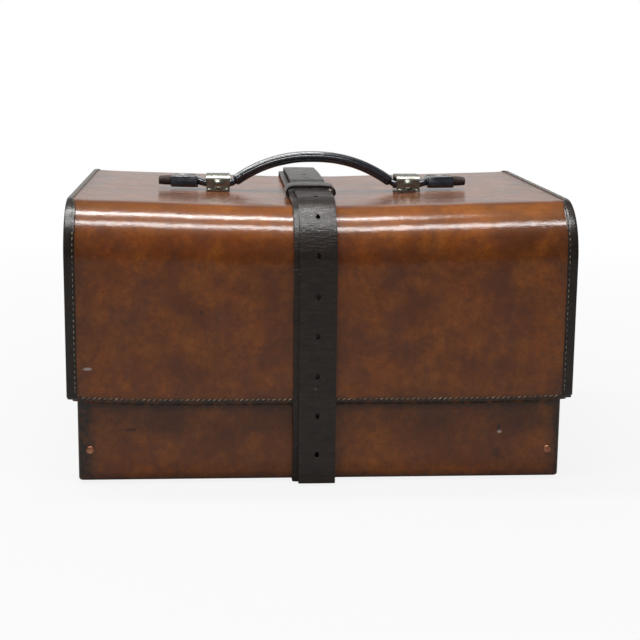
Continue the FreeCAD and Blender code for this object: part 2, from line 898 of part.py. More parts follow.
def make_strap_lower():
    # The part of the strap under the base, which the case stands on
    face = half_depth + strap_mid
    under = s.strap_thick / 2
    corner = base_deep + strap_mid + s.cover_fit
    path = [
        (-face, inner_joint - s.joint_gap, 0),
        (-face, lid_low, s.front_slant_bend),
        (-corner, under, s.strap_corner),
        (corner, under, s.strap_corner),
        (face, lid_low, s.rear_slant_bend),
        (face, far_rise + s.rear_joint, 0),
    ]
    shaped_feature("strap_lower", band(path, s.strap_thick, inner_left, s.strap_wide, "YZ"))


def hole_stations():
    count = int(s.hole_count.number)
    return [s.tail_end + s.hole_first + s.hole_pitch * step for step in range(count)]


def make_strap_tail():
    # The outer layer: out of the buckle, up the back, over the top through the keeper and down
    face = half_depth + tail_mid
    bend = s.lid_bend + tail_mid
    rear_bend = s.lid_rear_bend + tail_mid
    over = bar_y + (bar_y - half_depth - strap_mid) + s.strap_thick + s.strap_gap
    back = face + s.strap_thick + s.tail_off_fold
    keeper_rear = s.keeper_place + s.keeper_long / 2
    path = [
        (half_depth + strap_mid, far_rise + s.tail_start, 0),
        (half_depth + strap_mid, far_rise + s.tail_turn, s.tail_turn_bend),
        (over, s.buckle_rise - s.bar_hump, s.fold_bend),
        (over, s.buckle_rise + s.bar_hump, s.tail_bend),
        (back, s.buckle_rise + s.tail_back, s.tail_bend),
        (back, s.buckle_rise + s.tail_near, s.tail_bend),
        (face, s.buckle_rise + s.tail_home, s.tail_bend),
        (face, tail_top, rear_bend),
        (s.bow_rear, tail_top + s.tail_bow, s.bow_rear_bend),
        (keeper_rear + s.bow_front, tail_top + s.tail_bow, s.bow_bend),
        (keeper_rear + s.bow_start, tail_top, s.bow_bend),
        (-face, tail_top, bend),
        (-face, s.tail_end, 0),
    ]
    strap = band(path, s.strap_thick, tail_left, s.strap_wide, "YZ")
    start = half_depth + tail_mid + s.strap_thick
    for station in hole_stations():
        strap = strap.cut(rod((s.tail_middle, -start, station), s.hole_radius, (0, s.strap_thick * 2, 0)))
    slot = prong_room(s.buckle_rise - s.slot_below, s.buckle_rise + s.tail_slot_above)
    shaped_feature("strap_tail", strap.cut(slot))


def make_keeper():
    # It goes round both layers of the strap, with its thicker sides standing on the lid
    low = dip_top + s.strap_gap
    room_left = inner_left - s.keeper_play_left
    room_right = tail_left + s.strap_wide + s.keeper_play_right
    room_top = tail_top + s.strap_thick / 2 + s.keeper_play_over
    outer = rounded(room_left - s.keeper_side, low, room_right + s.keeper_side,
                    room_top + s.keeper_side, s.keeper_bend)
    room = rounded(room_left, low + s.keeper_thick, room_right, room_top, s.keeper_room_bend)
    start = -(s.keeper_place + s.keeper_long / 2)
    prism("strap_keeper", "XZ_Plane", start, s.keeper_long, outer, room)


def make_buckle():
    inner = s.buckle_clear / 2
    outer = inner + s.buckle_arm
    low = far_rise - s.buckle_arm / 2
    high = s.buckle_rise + s.bar_radius + s.buckle_over
    mid = s.buckle_middle
    start = bar_y + s.buckle_plate / 2
    bend = s.buckle_bend
    corners = [
        (mid - outer, low + bend, "line"),
        (mid - outer, high, "line"),
        (mid - inner, high, "line"),
        (mid - inner, low + s.buckle_arm, "line"),
        (mid + inner, low + s.buckle_arm, "line"),
        (mid + inner, high, "line"),
        (mid + outer, high, "line"),
        (mid + outer, low + bend, "rise"),
        (mid + outer - bend, low, "line"),
        (mid - outer + bend, low, "fall"),
    ]
    prism("buckle_frame", "XZ_Plane", -start, s.buckle_plate, corners)
    bar = rod((mid - inner, bar_y, s.buckle_rise), s.bar_radius, (s.buckle_clear, 0, 0))
    shaped_feature("buckle_bar", bar)


def make_prong():
    # A ring that turns on the bar, with a flat tapered tongue that lies over the far side
    half = s.prong_wide / 2
    mid = s.buckle_middle
    ring = rod((mid - half, bar_y, s.buckle_rise), s.prong_ring, (s.prong_wide, 0, 0))
    bore = rod((mid - half - spare, bar_y, s.buckle_rise), s.bar_radius + s.bar_fit,
               (s.prong_wide + spare * 2, 0, 0))
    inner = bar_y + s.buckle_plate / 2 + s.strap_gap * 2
    foot = far_rise - s.buckle_arm / 2 - s.prong_over
    corners = [
        (bar_y, s.buckle_rise - s.prong_root / 2),
        (bar_y + s.prong_ring, s.buckle_rise - s.prong_root / 2),
        (inner + s.prong_tip, foot),
        (inner, foot),
        (bar_y + s.bar_radius, s.buckle_rise - s.prong_root),
    ]
    points = [FreeCAD.Vector((mid - half).number, y.number, z.number) for y, z in corners]
    face = Part.Face(Part.makePolygon(points + points[:1]))
    tongue = face.extrude(FreeCAD.Vector(s.prong_wide.number, 0, 0))
    shaped_feature("buckle_prong", ring.fuse(tongue).cut(bore).removeSplitter())


# Handle

neck_height = loop_floor + s.neck_rise
block_edge = s.loop_middle + s.loop_long / 2 + s.neck_show
tab_edge = block_edge + s.tab_long


def arch_path(reach):
    top = neck_height + s.arch_rise
    tab_height = neck_height + s.tab_lift
    loop_side = block_edge - s.neck_show
    return [
        (-reach, tab_height, 0),
        (-block_edge, tab_height, s.neck_bend),
        (-loop_side, neck_height, s.neck_bend),
        (-s.arch_foot, neck_height, s.foot_bend),
        (-s.arch_knee, top, s.knee_bend),
        (s.arch_knee, top, s.knee_bend),
        (s.arch_foot, neck_height, s.foot_bend),
        (loop_side, neck_height, s.neck_bend),
        (block_edge, tab_height, s.neck_bend),
        (reach, tab_height, 0),
    ]


def make_handle():
    core_low = s.handle_place - s.core_wide / 2
    core = band(arch_path(tab_edge), s.core_thick, core_low, s.core_wide, "XZ")
    reach = s.loop_middle - s.loop_long / 2 - s.grip_short
    shaped_feature("handle_core", core.fuse(make_necks(reach)).removeSplitter())
    fit = s.cover_fit
    room = band(arch_path(tab_edge), s.core_thick + fit * 2, core_low - fit, s.core_wide + fit * 2, "XZ")
    grip_low = s.handle_place - s.grip_wide / 2
    whole = band(arch_path(tab_edge), s.grip_thick, grip_low, s.grip_wide, "XZ")
    trimmed = whole.common(block((-reach, grip_low, 0), (reach, grip_low + s.grip_wide, lid_top * 2)))
    long_edges = [edge for edge in trimmed.Edges if along_handle(edge)]
    eased_grip = trimmed.makeChamfer(s.grip_ease.number, long_edges)
    shaped_feature("handle_grip", eased_grip.cut(room))
    make_tabs(room)


def make_necks(reach):
    # The core is wider where it passes through the loops, so that it lies close to their walls
    half = s.loop_deep / 2 - s.loop_wall - s.neck_play
    wide = band(arch_path(tab_edge), s.core_thick, s.handle_place - half, half * 2, "XZ")
    necks = []
    for low, high in ((-block_edge, -reach), (reach, block_edge)):
        room = block((low, s.handle_place - half, 0), (high, s.handle_place + half, lid_top * 2))
        necks.append(wide.common(room))
    return Part.makeCompound(necks)


def along_handle(edge):
    sides = [s.handle_place.number - s.grip_wide.number / 2, s.handle_place.number + s.grip_wide.number / 2]
    box = edge.BoundBox
    on_side = min(abs(box.YMin - side) for side in sides) < TINY
    return box.YLength < TINY and on_side and box.XLength > TINY


def make_tabs(room):
    low = neck_height + s.tab_lift - s.tab_thick / 2
    mid = s.handle_place
    for side, tag in ((-1, "left"), (1, "right")):
        near = block_edge * side
        far = tab_edge * side
        end = (tab_edge + s.end_long) * side
        points = [(near, mid - s.tab_wide / 2), (near, mid + s.tab_wide / 2),
                  (far, mid + s.tab_nose / 2), (far, mid - s.tab_nose / 2)]
        corners = [FreeCAD.Vector(x.number, y.number, low.number) for x, y in points]
        face = Part.Face(Part.makePolygon(corners + corners[:1]))
        tab = face.extrude(FreeCAD.Vector(0, 0, s.tab_thick.number))
        edges = [edge for edge in tab.Edges if edge.BoundBox.ZLength < TINY and edge.BoundBox.XLength > TINY]
        tab = tab.makeFillet(s.tab_round.number, edges)
        shaped_feature("handle_tab_" + tag, tab.cut(room))
        inner = s.tab_nose / 2 - s.end_inset
        start = end if side < 0 else far
        prism("handle_end_" + tag, "YZ_Plane", start, s.end_long, rounded(
            mid - inner, low + s.end_inset, mid + inner, low + s.tab_thick - s.end_inset / 2, s.end_bend))


NODES = [
    "base_bottom", "base_front_panel", "base_rear_panel", "base_end_left", "base_end_right",
    "base_rim_binding", "base_lining", "base_corner_braces", "base_corner_rivets", "base_rivet_burrs",
    "strap_lower",
    "lid_cover", "lid_end_left", "lid_end_right", "lid_binding_left", "lid_binding_right",
    "lid_facing", "lid_lining", "handle_loop_left", "handle_loop_right", "loop_studs", "loop_pins",
    "loop_plate_left", "loop_plate_right", "strap_upper", "strap_tail", "strap_keeper",
    "buckle_frame", "buckle_bar",
    "buckle_prong",
    "handle_core", "handle_grip", "handle_tab_left", "handle_tab_right",
    "handle_end_left", "handle_end_right",
]


def write_parts():
    doc.recompute()
    for item in doc.Objects:
        if "Invalid" in item.State or "Error" in item.State:
            raise RuntimeError(item.Name + " did not build: " + ", ".join(item.State))
    os.makedirs("parts", exist_ok=True)
    for name in NODES:
        item = doc.getObject(name)
        if item.Shape.isNull() or not item.Shape.isValid():
            raise RuntimeError(name + " has no valid shape")
        item.Label = name
        item.Shape.exportStep(os.path.join("parts", name + ".step"))
        box = item.Shape.BoundBox
        print("%-20s solids %2d volume %9.0f  x %7.1f %7.1f  y %7.1f %7.1f  z %7.1f %7.1f" % (
            name, len(item.Shape.Solids), item.Shape.Volume,
            box.XMin, box.XMax, box.YMin, box.YMax, box.ZMin, box.ZMax))


make_base_panels()
make_rim_binding()
make_base_lining()
make_corner_fastenings()
make_lid_cover()
make_lid_bindings()
make_lid_facing_and_lining()
make_loops()
make_strap_upper()
make_strap_lower()
make_strap_tail()
make_keeper()
make_buckle()
make_prong()
make_handle()
write_parts()
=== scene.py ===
import bmesh
import bpy
import math
from mathutils import Matrix, Vector, noise


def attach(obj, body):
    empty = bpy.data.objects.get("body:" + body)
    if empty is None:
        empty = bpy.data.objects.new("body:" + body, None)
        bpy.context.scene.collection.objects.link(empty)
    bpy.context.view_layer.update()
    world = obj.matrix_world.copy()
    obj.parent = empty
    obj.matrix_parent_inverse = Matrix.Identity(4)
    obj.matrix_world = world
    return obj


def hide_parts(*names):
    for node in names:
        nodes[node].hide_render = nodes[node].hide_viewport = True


# A leather travel case: a deep lid over a box base, closed by one long strap that is
# buckled behind. Sizes in the dictionaries are millimetres, and the meshes are metres.
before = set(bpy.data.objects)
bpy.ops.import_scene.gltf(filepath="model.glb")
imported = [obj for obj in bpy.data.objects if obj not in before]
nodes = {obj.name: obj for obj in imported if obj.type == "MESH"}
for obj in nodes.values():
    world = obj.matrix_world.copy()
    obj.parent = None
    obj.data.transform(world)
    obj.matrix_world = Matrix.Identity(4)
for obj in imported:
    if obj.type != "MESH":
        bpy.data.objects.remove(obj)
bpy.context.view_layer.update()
mm = 0.001
print("stage: frame loaded")


def clamp(value, low=0.0, high=1.0):
    return min(high, max(low, value))


def linear(code):
    # Colours are written as sRGB hex, and the shaders take linear light
    parts = [int(code[i:i + 2], 16) / 255 for i in (1, 3, 5)]
    return [c / 12.92 if c <= 0.04045 else ((c + 0.055) / 1.055) ** 2.4 for c in parts] + [1.0]


def addNode(tree, kind, inputs=None, **settings):
    # One node with its settings. An input is a number, a colour, an output or a node, which
    # stands for its first output.
    node = tree.nodes.new(kind)
    for key, value in settings.items():
        setattr(node, key, value)
    for socket, value in (inputs or {}).items():
        if isinstance(value, bpy.types.Node):
            value = value.outputs[0]
        if isinstance(value, bpy.types.NodeSocket):
            tree.links.new(value, node.inputs[socket])
        else:
            node.inputs[socket].default_value = value
    return node


def emptyTree(owner):
    owner.use_nodes = True
    owner.node_tree.nodes.clear()
    return owner.node_tree


# Camera and studio

camera = {
    "place": (-93.0, -1430.0, 402.4),
    "pitch": 11.18,       # degrees down
    "yaw": 4.10,          # degrees to the right
    "roll": 0.62,
    "focalPixels": 1429.0,
    "imagePixels": 640.0,
    "sensor": 36.0,
}


def makeCamera(settings):
    yaw, pitch, roll = (math.radians(settings[key]) for key in ("yaw", "pitch", "roll"))
    level = Matrix(((1, 0, 0), (0, 0, -1), (0, 1, 0)))
    turn = Matrix.Rotation(roll, 3, "Z") @ Matrix.Rotation(pitch, 3, "X") @ Matrix.Rotation(-yaw, 3, "Y")
    right, down, ahead = turn @ level
    data = bpy.data.cameras.new("camera")
    data.sensor_width = settings["sensor"]
    data.lens = settings["focalPixels"] / settings["imagePixels"] * settings["sensor"]
    obj = bpy.data.objects.new("camera", data)
    axes = Matrix((right, -down, -ahead)).transposed().to_4x4()
    obj.matrix_world = Matrix.Translation(Vector(settings["place"]) * mm) @ axes
    bpy.context.scene.collection.objects.link(obj)
    bpy.context.scene.camera = obj


studio = {
    "floorColour": "#929190",
    "white": "#ffffff",
    "floorReach": 14.0,      # metres
    "floorGlow": 0.87,       # the share of the floor's white that is its own near the case
    "glowFrom": 0.35,        # metres from the case where that share starts to grow to 1
    "glowTo": 1.5,
    "skyFill": 0.50,         # light from all round
    "backdrop": 0.56,        # the white backdrop as polished leather shows it
    "backdropTop": 0.30,     # sine of the elevation where the white backdrop ends, behind
    "backdropFade": 0.16,
    "ceiling": 0.10,
}

# Two long ceiling lamps give the two bright lines on the lid's front rounding
lamps = [
    # name, place, aim, size along X, size across, watts, seen in reflections
    ("ceilingFront", (-0.15, -0.75, 2.35), (0.0, -0.16, 0.24), 1.9, 0.24, 54.0, True),
    ("ceilingBack", (-0.70, 0.28, 2.35), (-0.3, -0.15, 0.25), 2.1, 0.24, 68.0, True),
    ("roomFront", (-0.6, -3.4, 1.9), (0.0, 0.0, 0.12), 2.6, 1.6, 24.0, False),
]


def makeFloor(settings):
    reach = settings["floorReach"]
    mesh = bpy.data.meshes.new("floor")
    mesh.from_pydata([(-reach, -reach, 0), (reach, -reach, 0), (reach, reach, 0), (-reach, reach, 0)],
                     [], [(0, 1, 2, 3)])
    floor = bpy.data.objects.new("floor", mesh)
    bpy.context.scene.collection.objects.link(floor)
    material = bpy.data.materials.new("paintedFloorMatt")
    tree = emptyTree(material)
    place = addNode(tree, "ShaderNodeTexCoord").outputs["Object"]
    share = addNode(tree, "ShaderNodeMapRange", {
        "Value": addNode(tree, "ShaderNodeVectorMath", {0: place}, operation="LENGTH").outputs["Value"],
        "From Min": settings["glowFrom"], "From Max": settings["glowTo"], "To Min": settings["floorGlow"]})
    seen = addNode(tree, "ShaderNodeLightPath").outputs["Is Camera Ray"]
    mix = addNode(tree, "ShaderNodeMixShader", {
        0: addNode(tree, "ShaderNodeMath", {0: seen, 1: share}, operation="MULTIPLY"),
        1: addNode(tree, "ShaderNodeBsdfDiffuse", {"Color": linear(settings["floorColour"])}),
        2: addNode(tree, "ShaderNodeEmission", {"Color": linear(settings["white"]), "Strength": 1.0})})
    addNode(tree, "ShaderNodeOutputMaterial", {"Surface": mix})
    mesh.materials.append(material)


def makeSky(settings):
    world = bpy.data.worlds.new("studio")
    tree = emptyTree(world)
    ray = addNode(tree, "ShaderNodeLightPath").outputs
    toward = addNode(tree, "ShaderNodeSeparateXYZ", {
        0: addNode(tree, "ShaderNodeTexCoord").outputs["Generated"]}).outputs
    # A white backdrop stands behind the case up to a low height, and the room above is dim
    light = addNode(tree, "ShaderNodeMapRange", {
        "Value": toward["Z"], "From Min": settings["backdropTop"],
        "From Max": settings["backdropTop"] + settings["backdropFade"],
        "To Min": settings["backdrop"], "To Max": settings["ceiling"]})
    behind = addNode(tree, "ShaderNodeMapRange", {"Value": toward["Y"], "From Min": -0.2, "From Max": 0.3})
    for share, first, second in ((behind, settings["ceiling"], None),
                                 (ray["Is Glossy Ray"], settings["skyFill"], None),
                                 (ray["Is Camera Ray"], None, 1.0)):
        light = addNode(tree, "ShaderNodeMix", {
            0: share, 2: light if first is None else first, 3: light if second is None else second},
            data_type="FLOAT")
    sky = addNode(tree, "ShaderNodeBackground", {"Color": linear(settings["white"]), "Strength": light})
    addNode(tree, "ShaderNodeOutputWorld", {"Surface": sky})
    bpy.context.scene.world = world
    bpy.context.scene.view_settings.view_transform = "Standard"


def makeLamps(rows):
    for name, place, aim, long, across, watts, mirrored in rows:
        data = bpy.data.lights.new(name, "AREA")
        data.shape = "RECTANGLE"
        data.size = long
        data.size_y = across
        data.energy = watts
        obj = bpy.data.objects.new(name, data)
        back = (Vector(place) - Vector(aim)).normalized()
        side = (Vector((1, 0, 0)) - back * back.x).normalized()    # the long side stays along X
        turn = Matrix((side, back.cross(side), back)).transposed().to_4x4()
        obj.matrix_world = Matrix.Translation(place) @ turn
        obj.visible_glossy = mirrored
        bpy.context.scene.collection.objects.link(obj)


makeCamera(camera)
makeFloor(studio)
makeSky(studio)
makeLamps(lamps)
print("stage: camera and studio")


# Materials. Patches are soft noise, and their numbers are: patches per metre, detail, roughness,
# the noise values that give least and full, least, full, and a stretch of the coordinates.

def patches(tree, where, scale, detail=4.0, rough=0.6, low=0.35, high=0.65, least=0.0, full=1.0,
            stretch=None):
    if stretch:
        where = addNode(tree, "ShaderNodeMapping", {"Vector": where, "Scale": stretch})
    field = addNode(tree, "ShaderNodeTexNoise", {
        "Vector": where, "Scale": scale, "Detail": detail, "Roughness": rough})
    return addNode(tree, "ShaderNodeMapRange", {
        "Value": field, "From Min": low, "From Max": high, "To Min": least, "To Max": full})


def paint(tree, place, first, layers):
    # Lays colours over the first one, each by a mask or by the numbers of its patches
    tone = linear(first)
    for colour, mask in layers:
        if isinstance(mask, tuple):
            mask = patches(tree, place, *mask)
        tone = addNode(tree, "ShaderNodeMix", {0: mask, 6: tone, 7: linear(colour)},
                       data_type="RGBA").outputs[2]
    return tone


def newMaterial(name, build, shader):
    # Constants sit on the shader's own sockets, and build gives what its nodes work out
    material = bpy.data.materials.new(name)
    tree = emptyTree(material)
    place = addNode(tree, "ShaderNodeTexCoord").outputs["Object"]
    surface = addNode(tree, "ShaderNodeBsdfPrincipled", {**shader, **build(tree, place)})
    addNode(tree, "ShaderNodeOutputMaterial", {"Surface": surface})
    return material


caseLeather = {
    "first": "#42210c",
    "layers": [
        ("#64310c", (16.0, 5.0, 0.6, 0.25, 0.62)),                     # large stains
        ("#874c0f", (34.0, 6.0, 0.66, 0.44, 0.74, 0.0, 0.6)),          # warm clouds
        ("#3a211b", (27.2, 7.0, 0.7, 0.5, 0.68, 0.0, 0.6)),
        ("#42210c", (130.0, 7.0, 0.78, 0.40, 0.66, 0.0, 0.62)),        # fine mottle
        ("#3a211b", (70.0, 3.0, 0.6, 0.5, 0.8, 0.0, 0.3, (1.0, 1.0, 0.16))),    # upright streaks
        ("#2a1712", (420.0, 4.0, 0.68, 0.6, 0.72, 0.0, 0.7)),          # specks
    ],
    # bend is painted light: a pale tone on the lid's front rounding, where it faces up to the ceiling lamps
    "bend": "#a8723f", "edge": "#1d1611",
    "pores": 900.0,      # real pores are about 0.2 mm, drawn at 1 mm so that they show
    "scarStart": -0.1,   # metres along Y: the scars lie in front of this
    # Scars and one painted glint: x, z, half width, half height, strength, colour
    "scarsAndGlint": [
        (164.0, 51.0, 1.6, 4.6, 0.85, "#2a1712"),
        # A painted glint: a pale spot in the hole of the dark scar above
        (165.0, 46.5, 1.8, 1.6, 0.7, "#9a938f"),
        (163.0, 27.0, 4.6, 5.0, 0.5, "#2a1712"),
        (-109.0, 160.5, 1.6, 2.0, 0.8, "#2a1712"),
        (-174.0, 51.0, 5.6, 1.6, 0.75, "#2a1712"),
        (-211.0, 109.5, 4.2, 1.4, 0.55, "#9a938f"),
        (-75.0, 120.0, 1.8, 1.6, 0.5, "#2a1712"),
    ],
}


def glazedCowhide(tree, place):
    # Thick cowhide, stained and glazed by a century of polish: deep mottled brown under a clear gloss
    up = addNode(tree, "ShaderNodeSeparateXYZ", {
        0: addNode(tree, "ShaderNodeTexCoord").outputs["Normal"]}).outputs["Z"]
    # Painted light: the bend is lighter where its normal faces up to the lamps, and less so on the level top
    bend, slopeLight = (addNode(tree, "ShaderNodeMapRange", {"Value": up, **span}) for span in (
        {"From Min": 0.45, "From Max": 0.95, "To Max": 0.12},
        {"From Min": 0.998, "From Max": 0.96, "To Min": 0.3}))
    # worn holds the dark borders and, on the base, a painted shadow under the lid's hem
    worn = addNode(tree, "ShaderNodeAttribute", attribute_name="darkEdgesAndHemShadow").outputs["Fac"]
    ragged = patches(tree, place, 160.0, 5.0, 0.7, 0.3, 0.7, 0.45, 1.45)
    # The bend gets a painted highlight where it faces up to the lamps, and the borders are dark and ragged;
    # under the lid's hem the base also gets a painted shadow
    layers = caseLeather["layers"] + [
        (caseLeather[key], addNode(tree, "ShaderNodeMath", {0: one, 1: two}, operation="MULTIPLY",
                                   use_clamp=True))
        for key, one, two in (("bend", bend, slopeLight), ("edge", worn, ragged))]
    frayed = addNode(tree, "ShaderNodeTexNoise", {"Vector": place, "Scale": 500.0})
    front = addNode(tree, "ShaderNodeMath", {
        0: addNode(tree, "ShaderNodeSeparateXYZ", {0: place}).outputs["Y"],
        1: caseLeather["scarStart"]}, operation="LESS_THAN")
    for x, z, wide, tall, strength, colour in caseLeather["scarsAndGlint"]:
        offset = addNode(tree, "ShaderNodeMapping", {
            "Vector": place, "Location": (-x / wide, 0.0, -z / tall),
            "Scale": (1 / (wide * mm), 0.0, 1 / (tall * mm))})
        reach = addNode(tree, "ShaderNodeVectorMath", {0: offset}, operation="LENGTH").outputs["Value"]
        mask = addNode(tree, "ShaderNodeMapRange", {
            "Value": addNode(tree, "ShaderNodeMath", {0: reach, 1: frayed}, operation="ADD"),
            "From Min": 1.75, "From Max": 1.05, "To Max": strength})
        layers.append((colour, addNode(tree, "ShaderNodeMath", {0: mask, 1: front}, operation="MULTIPLY")))
    grain = addNode(tree, "ShaderNodeMath", {
        0: patches(tree, place, caseLeather["pores"], 3.0, 0.6, 0.3, 0.7),
        1: patches(tree, place, 210.0, 4.0, 0.6, 0.3, 0.7, 0.0, 1.6)}, operation="ADD")
    wave = addNode(tree, "ShaderNodeBump", {
        "Strength": 0.5, "Distance": 0.00045, "Height": patches(tree, place, 26.0, 4.0, 0.55, 0.2, 0.8)})
    relief, coat = (addNode(tree, "ShaderNodeBump", {
        "Strength": 0.3, "Distance": deep, "Height": grain, "Normal": wave}) for deep in (0.00012, 0.0001))
    return {"Base Color": paint(tree, place, caseLeather["first"], layers),
            "Roughness": patches(tree, place, 48.0, 5.0, 0.7, 0.3, 0.75, 0.24, 0.42),
            "Normal": relief, "Coat Normal": coat}


def oiledHarness(tree, place):
    # Harness leather, nearly black with oil, with fine creases across where it has been bent
    along = addNode(tree, "ShaderNodeUVMap", uv_map="strapUV")
    cross = patches(tree, along, 1.0, 5.0, 0.68, 0.4, 0.72, stretch=(75.0, 330.0, 1.0))
    height = addNode(tree, "ShaderNodeMath", {
        0: cross, 1: patches(tree, along, 620.0, 4.0, 0.65, 0.3, 0.7, 0.0, 0.8)}, operation="ADD")
    relief, coat = (addNode(tree, "ShaderNodeBump", {
        "Strength": strength, "Distance": deep, "Height": height})
        for strength, deep in ((0.8, 0.0004), (0.4, 0.0003)))
    return {"Base Color": paint(tree, along, "#100c0a", [
                ("#1f1814", (38.0, 5.0, 0.65, 0.32, 0.68)),
                ("#352a23", addNode(tree, "ShaderNodeMath", {0: cross, 1: 0.5}, operation="MULTIPLY")),
                ("#7d756a", (300.0, 2.0, 0.5, 0.73, 0.78, 0.0, 0.6))]),    # nicks
            "Roughness": addNode(tree, "ShaderNodeMapRange", {
                "Value": cross, "To Min": 0.46, "To Max": 0.27}),
            "Normal": relief, "Coat Normal": coat}


def plainLeather(dark, light, worn, dull, pores, deep):
    # For the smaller leather pieces: rubbed paler in spots, with its pores per metre and their depth
    def build(tree, place):
        relief = addNode(tree, "ShaderNodeBump", {
            "Strength": 0.6, "Distance": deep, "Height": patches(tree, place, pores, 4.0, 0.65, 0.3, 0.7)})
        return {"Base Color": paint(tree, place, dark, [
                    (light, (85.0, 6.0, 0.7, 0.35, 0.68)),
                    (worn, (330.0, 4.0, 0.65, 0.6, 0.74, 0.0, 0.5))]),
                "Roughness": patches(tree, place, 190.0, least=dull * 0.8, full=dull * 1.35),
                "Normal": relief, "Coat Normal": relief}
    return build


def agedMetal(bright, tarnish, dirt, dull, dirty):
    # Handled metal: bright where it is rubbed, tarnished in patches, with dirt in its hollows
    def build(tree, place):
        stain = patches(tree, place, 210.0, 6.0, 0.7, 0.36, 0.64)
        return {"Base Color": paint(tree, place, bright, [
                    (tarnish, stain), (dirt, (620.0, 4.0, 0.7, 0.54, 0.66, 0.0, dirty))]),
                "Roughness": addNode(tree, "ShaderNodeMapRange", {
                    "Value": stain, "To Min": dull, "To Max": dull + 0.22}),
                "Normal": addNode(tree, "ShaderNodeBump", {
                    "Strength": 0.4, "Distance": 0.0001, "Height": patches(tree, place, 800.0)})}
    return build


def agedDrill(tree, place):
    # Cotton drill pasted inside, aged to buff. Its 0.5 mm threads are drawn at 1 mm so that they show.
    weft = addNode(tree, "ShaderNodeTexWave", {"Vector": place, "Scale": 320.0, "Distortion": 0.4},
                   wave_type="BANDS", bands_direction="DIAGONAL").outputs["Fac"]
    return {"Base Color": paint(tree, place, "#a08c68", [
                ("#7c6847", (16.0, 5.0, 0.7, 0.4, 0.75)),
                ("#6d5b40", addNode(tree, "ShaderNodeMath", {0: weft, 1: 0.3}, operation="MULTIPLY"))]),
            "Normal": addNode(tree, "ShaderNodeBump", {"Strength": 0.5, "Distance": 0.0002, "Height": weft})}


def birchPlate(tree, place):
    # Thin birch plate, unfinished, with its grain along X
    grain = patches(tree, place, 60.0, 5.0, 0.65, 0.35, 0.65, stretch=(0.2, 3.0, 3.0))
    return {"Base Color": paint(tree, place, "#a8814f", [("#7f5c34", grain)]),
            "Normal": addNode(tree, "ShaderNodeBump", {"Strength": 0.3, "Distance": 0.0002, "Height": grain})}


def waxedThread(tree, place):
    # Waxed linen thread, dulled by dirt, with the twist of its strands
    twist = patches(tree, place, 1500.0, 2.0, 0.5, 0.3, 0.7)
    return {"Base Color": paint(tree, place, "#7a6c56", [("#382f27", (95.0, 4.0, 0.7, 0.4, 0.62))]),
            "Normal": addNode(tree, "ShaderNodeBump", {"Strength": 0.5, "Distance": 0.0001, "Height": twist})}


cowhide = newMaterial("glazedCowhide", glazedCowhide, {
    "IOR": 1.45, "Specular IOR Level": 0.12, "Coat Weight": 0.8, "Coat Roughness": 0.03, "Coat IOR": 1.38})
harness = newMaterial("oiledHarnessLeather", oiledHarness, {
    "IOR": 1.45, "Specular IOR Level": 0.16, "Coat Weight": 0.6, "Coat Roughness": 0.1, "Coat IOR": 1.4})
edging = newMaterial(
    "blackenedEdgeLeather", plainLeather("#0f0b08", "#1e1610", "#40362b", 0.4, 430.0, 0.0002),
    {"Specular IOR Level": 0.16, "Coat Weight": 0.7, "Coat Roughness": 0.06, "Coat IOR": 1.38})
handleHide = newMaterial(
    "polishedBlackCalf", plainLeather("#0d1014", "#1d222b", "#54545c", 0.3, 700.0, 0.00004),
    {"Specular IOR Level": 0.5, "Coat Weight": 0.8, "Coat Roughness": 0.08})
roughEnd, braceHide = (newMaterial(name, plainLeather(*numbers), {}) for name, numbers in (
    ("cutLeatherEdge", ("#17110d", "#35271d", "#5b4a3a", 0.7, 520.0, 0.0007)),
    ("brownBraceLeather", ("#3b2415", "#5a3a22", "#7a5a3c", 0.5, 600.0, 0.0002))))
nickel, oldBrass, copper = (newMaterial(name, agedMetal(*numbers), {"Metallic": 1.0}) for name, numbers in (
    ("wornNickelOnBrass", ("#b4b3aa", "#77766c", "#2e2d28", 0.27, 0.75)),
    ("tarnishedBrass", ("#a98d4f", "#6f5c35", "#2c2618", 0.32, 0.6)),
    ("oldCopper", ("#c28a6c", "#99644a", "#4a382e", 0.36, 0.5))))
drill = newMaterial("cottonDrill", agedDrill, {
    "Roughness": 0.9, "Sheen Weight": 0.15, "Sheen Roughness": 0.5})
birch = newMaterial("birchPlate", birchPlate, {"Roughness": 0.7})
thread = newMaterial("waxedLinenThread", waxedThread, {"Roughness": 0.62})
print("stage: materials")


# Mesh helpers

def newPiece(name, points, faces, material, flats=35.0, uv=None, marks=None):
    # points are millimetres. Edges sharper than flats degrees stay crisp.
    mesh = bpy.data.meshes.new(name)
    mesh.from_pydata([Vector(p) * mm for p in points], [], faces)
    if uv:
        layer = mesh.uv_layers.new(name="strapUV")
        for loop in mesh.loops:
            layer.data[loop.index].uv = uv[loop.vertex_index]
    for key, values in (marks or {}).items():
        mesh.attributes.new(key, "FLOAT", "POINT").data.foreach_set("value", values)
    mesh.materials.append(material)
    obj = bpy.data.objects.new(name, mesh)
    bpy.context.scene.collection.objects.link(obj)
    grid = bmesh.new()
    grid.from_mesh(mesh)
    bmesh.ops.remove_doubles(grid, verts=grid.verts, dist=0.00001)
    bmesh.ops.recalc_face_normals(grid, faces=grid.faces)
    grid.to_mesh(mesh)
    grid.free()
    for face in mesh.polygons:
        face.use_smooth = True
    mesh.set_sharp_from_angle(angle=math.radians(flats))
    mesh.update()
    return obj


def settle(obj):
    # The modifiers' result becomes the piece's own mesh
    graph = bpy.context.evaluated_depsgraph_get()
    mesh = bpy.data.meshes.new_from_object(obj.evaluated_get(graph), preserve_all_data_layers=True,
                                           depsgraph=graph)
    obj.modifiers.clear()
    obj.data = mesh


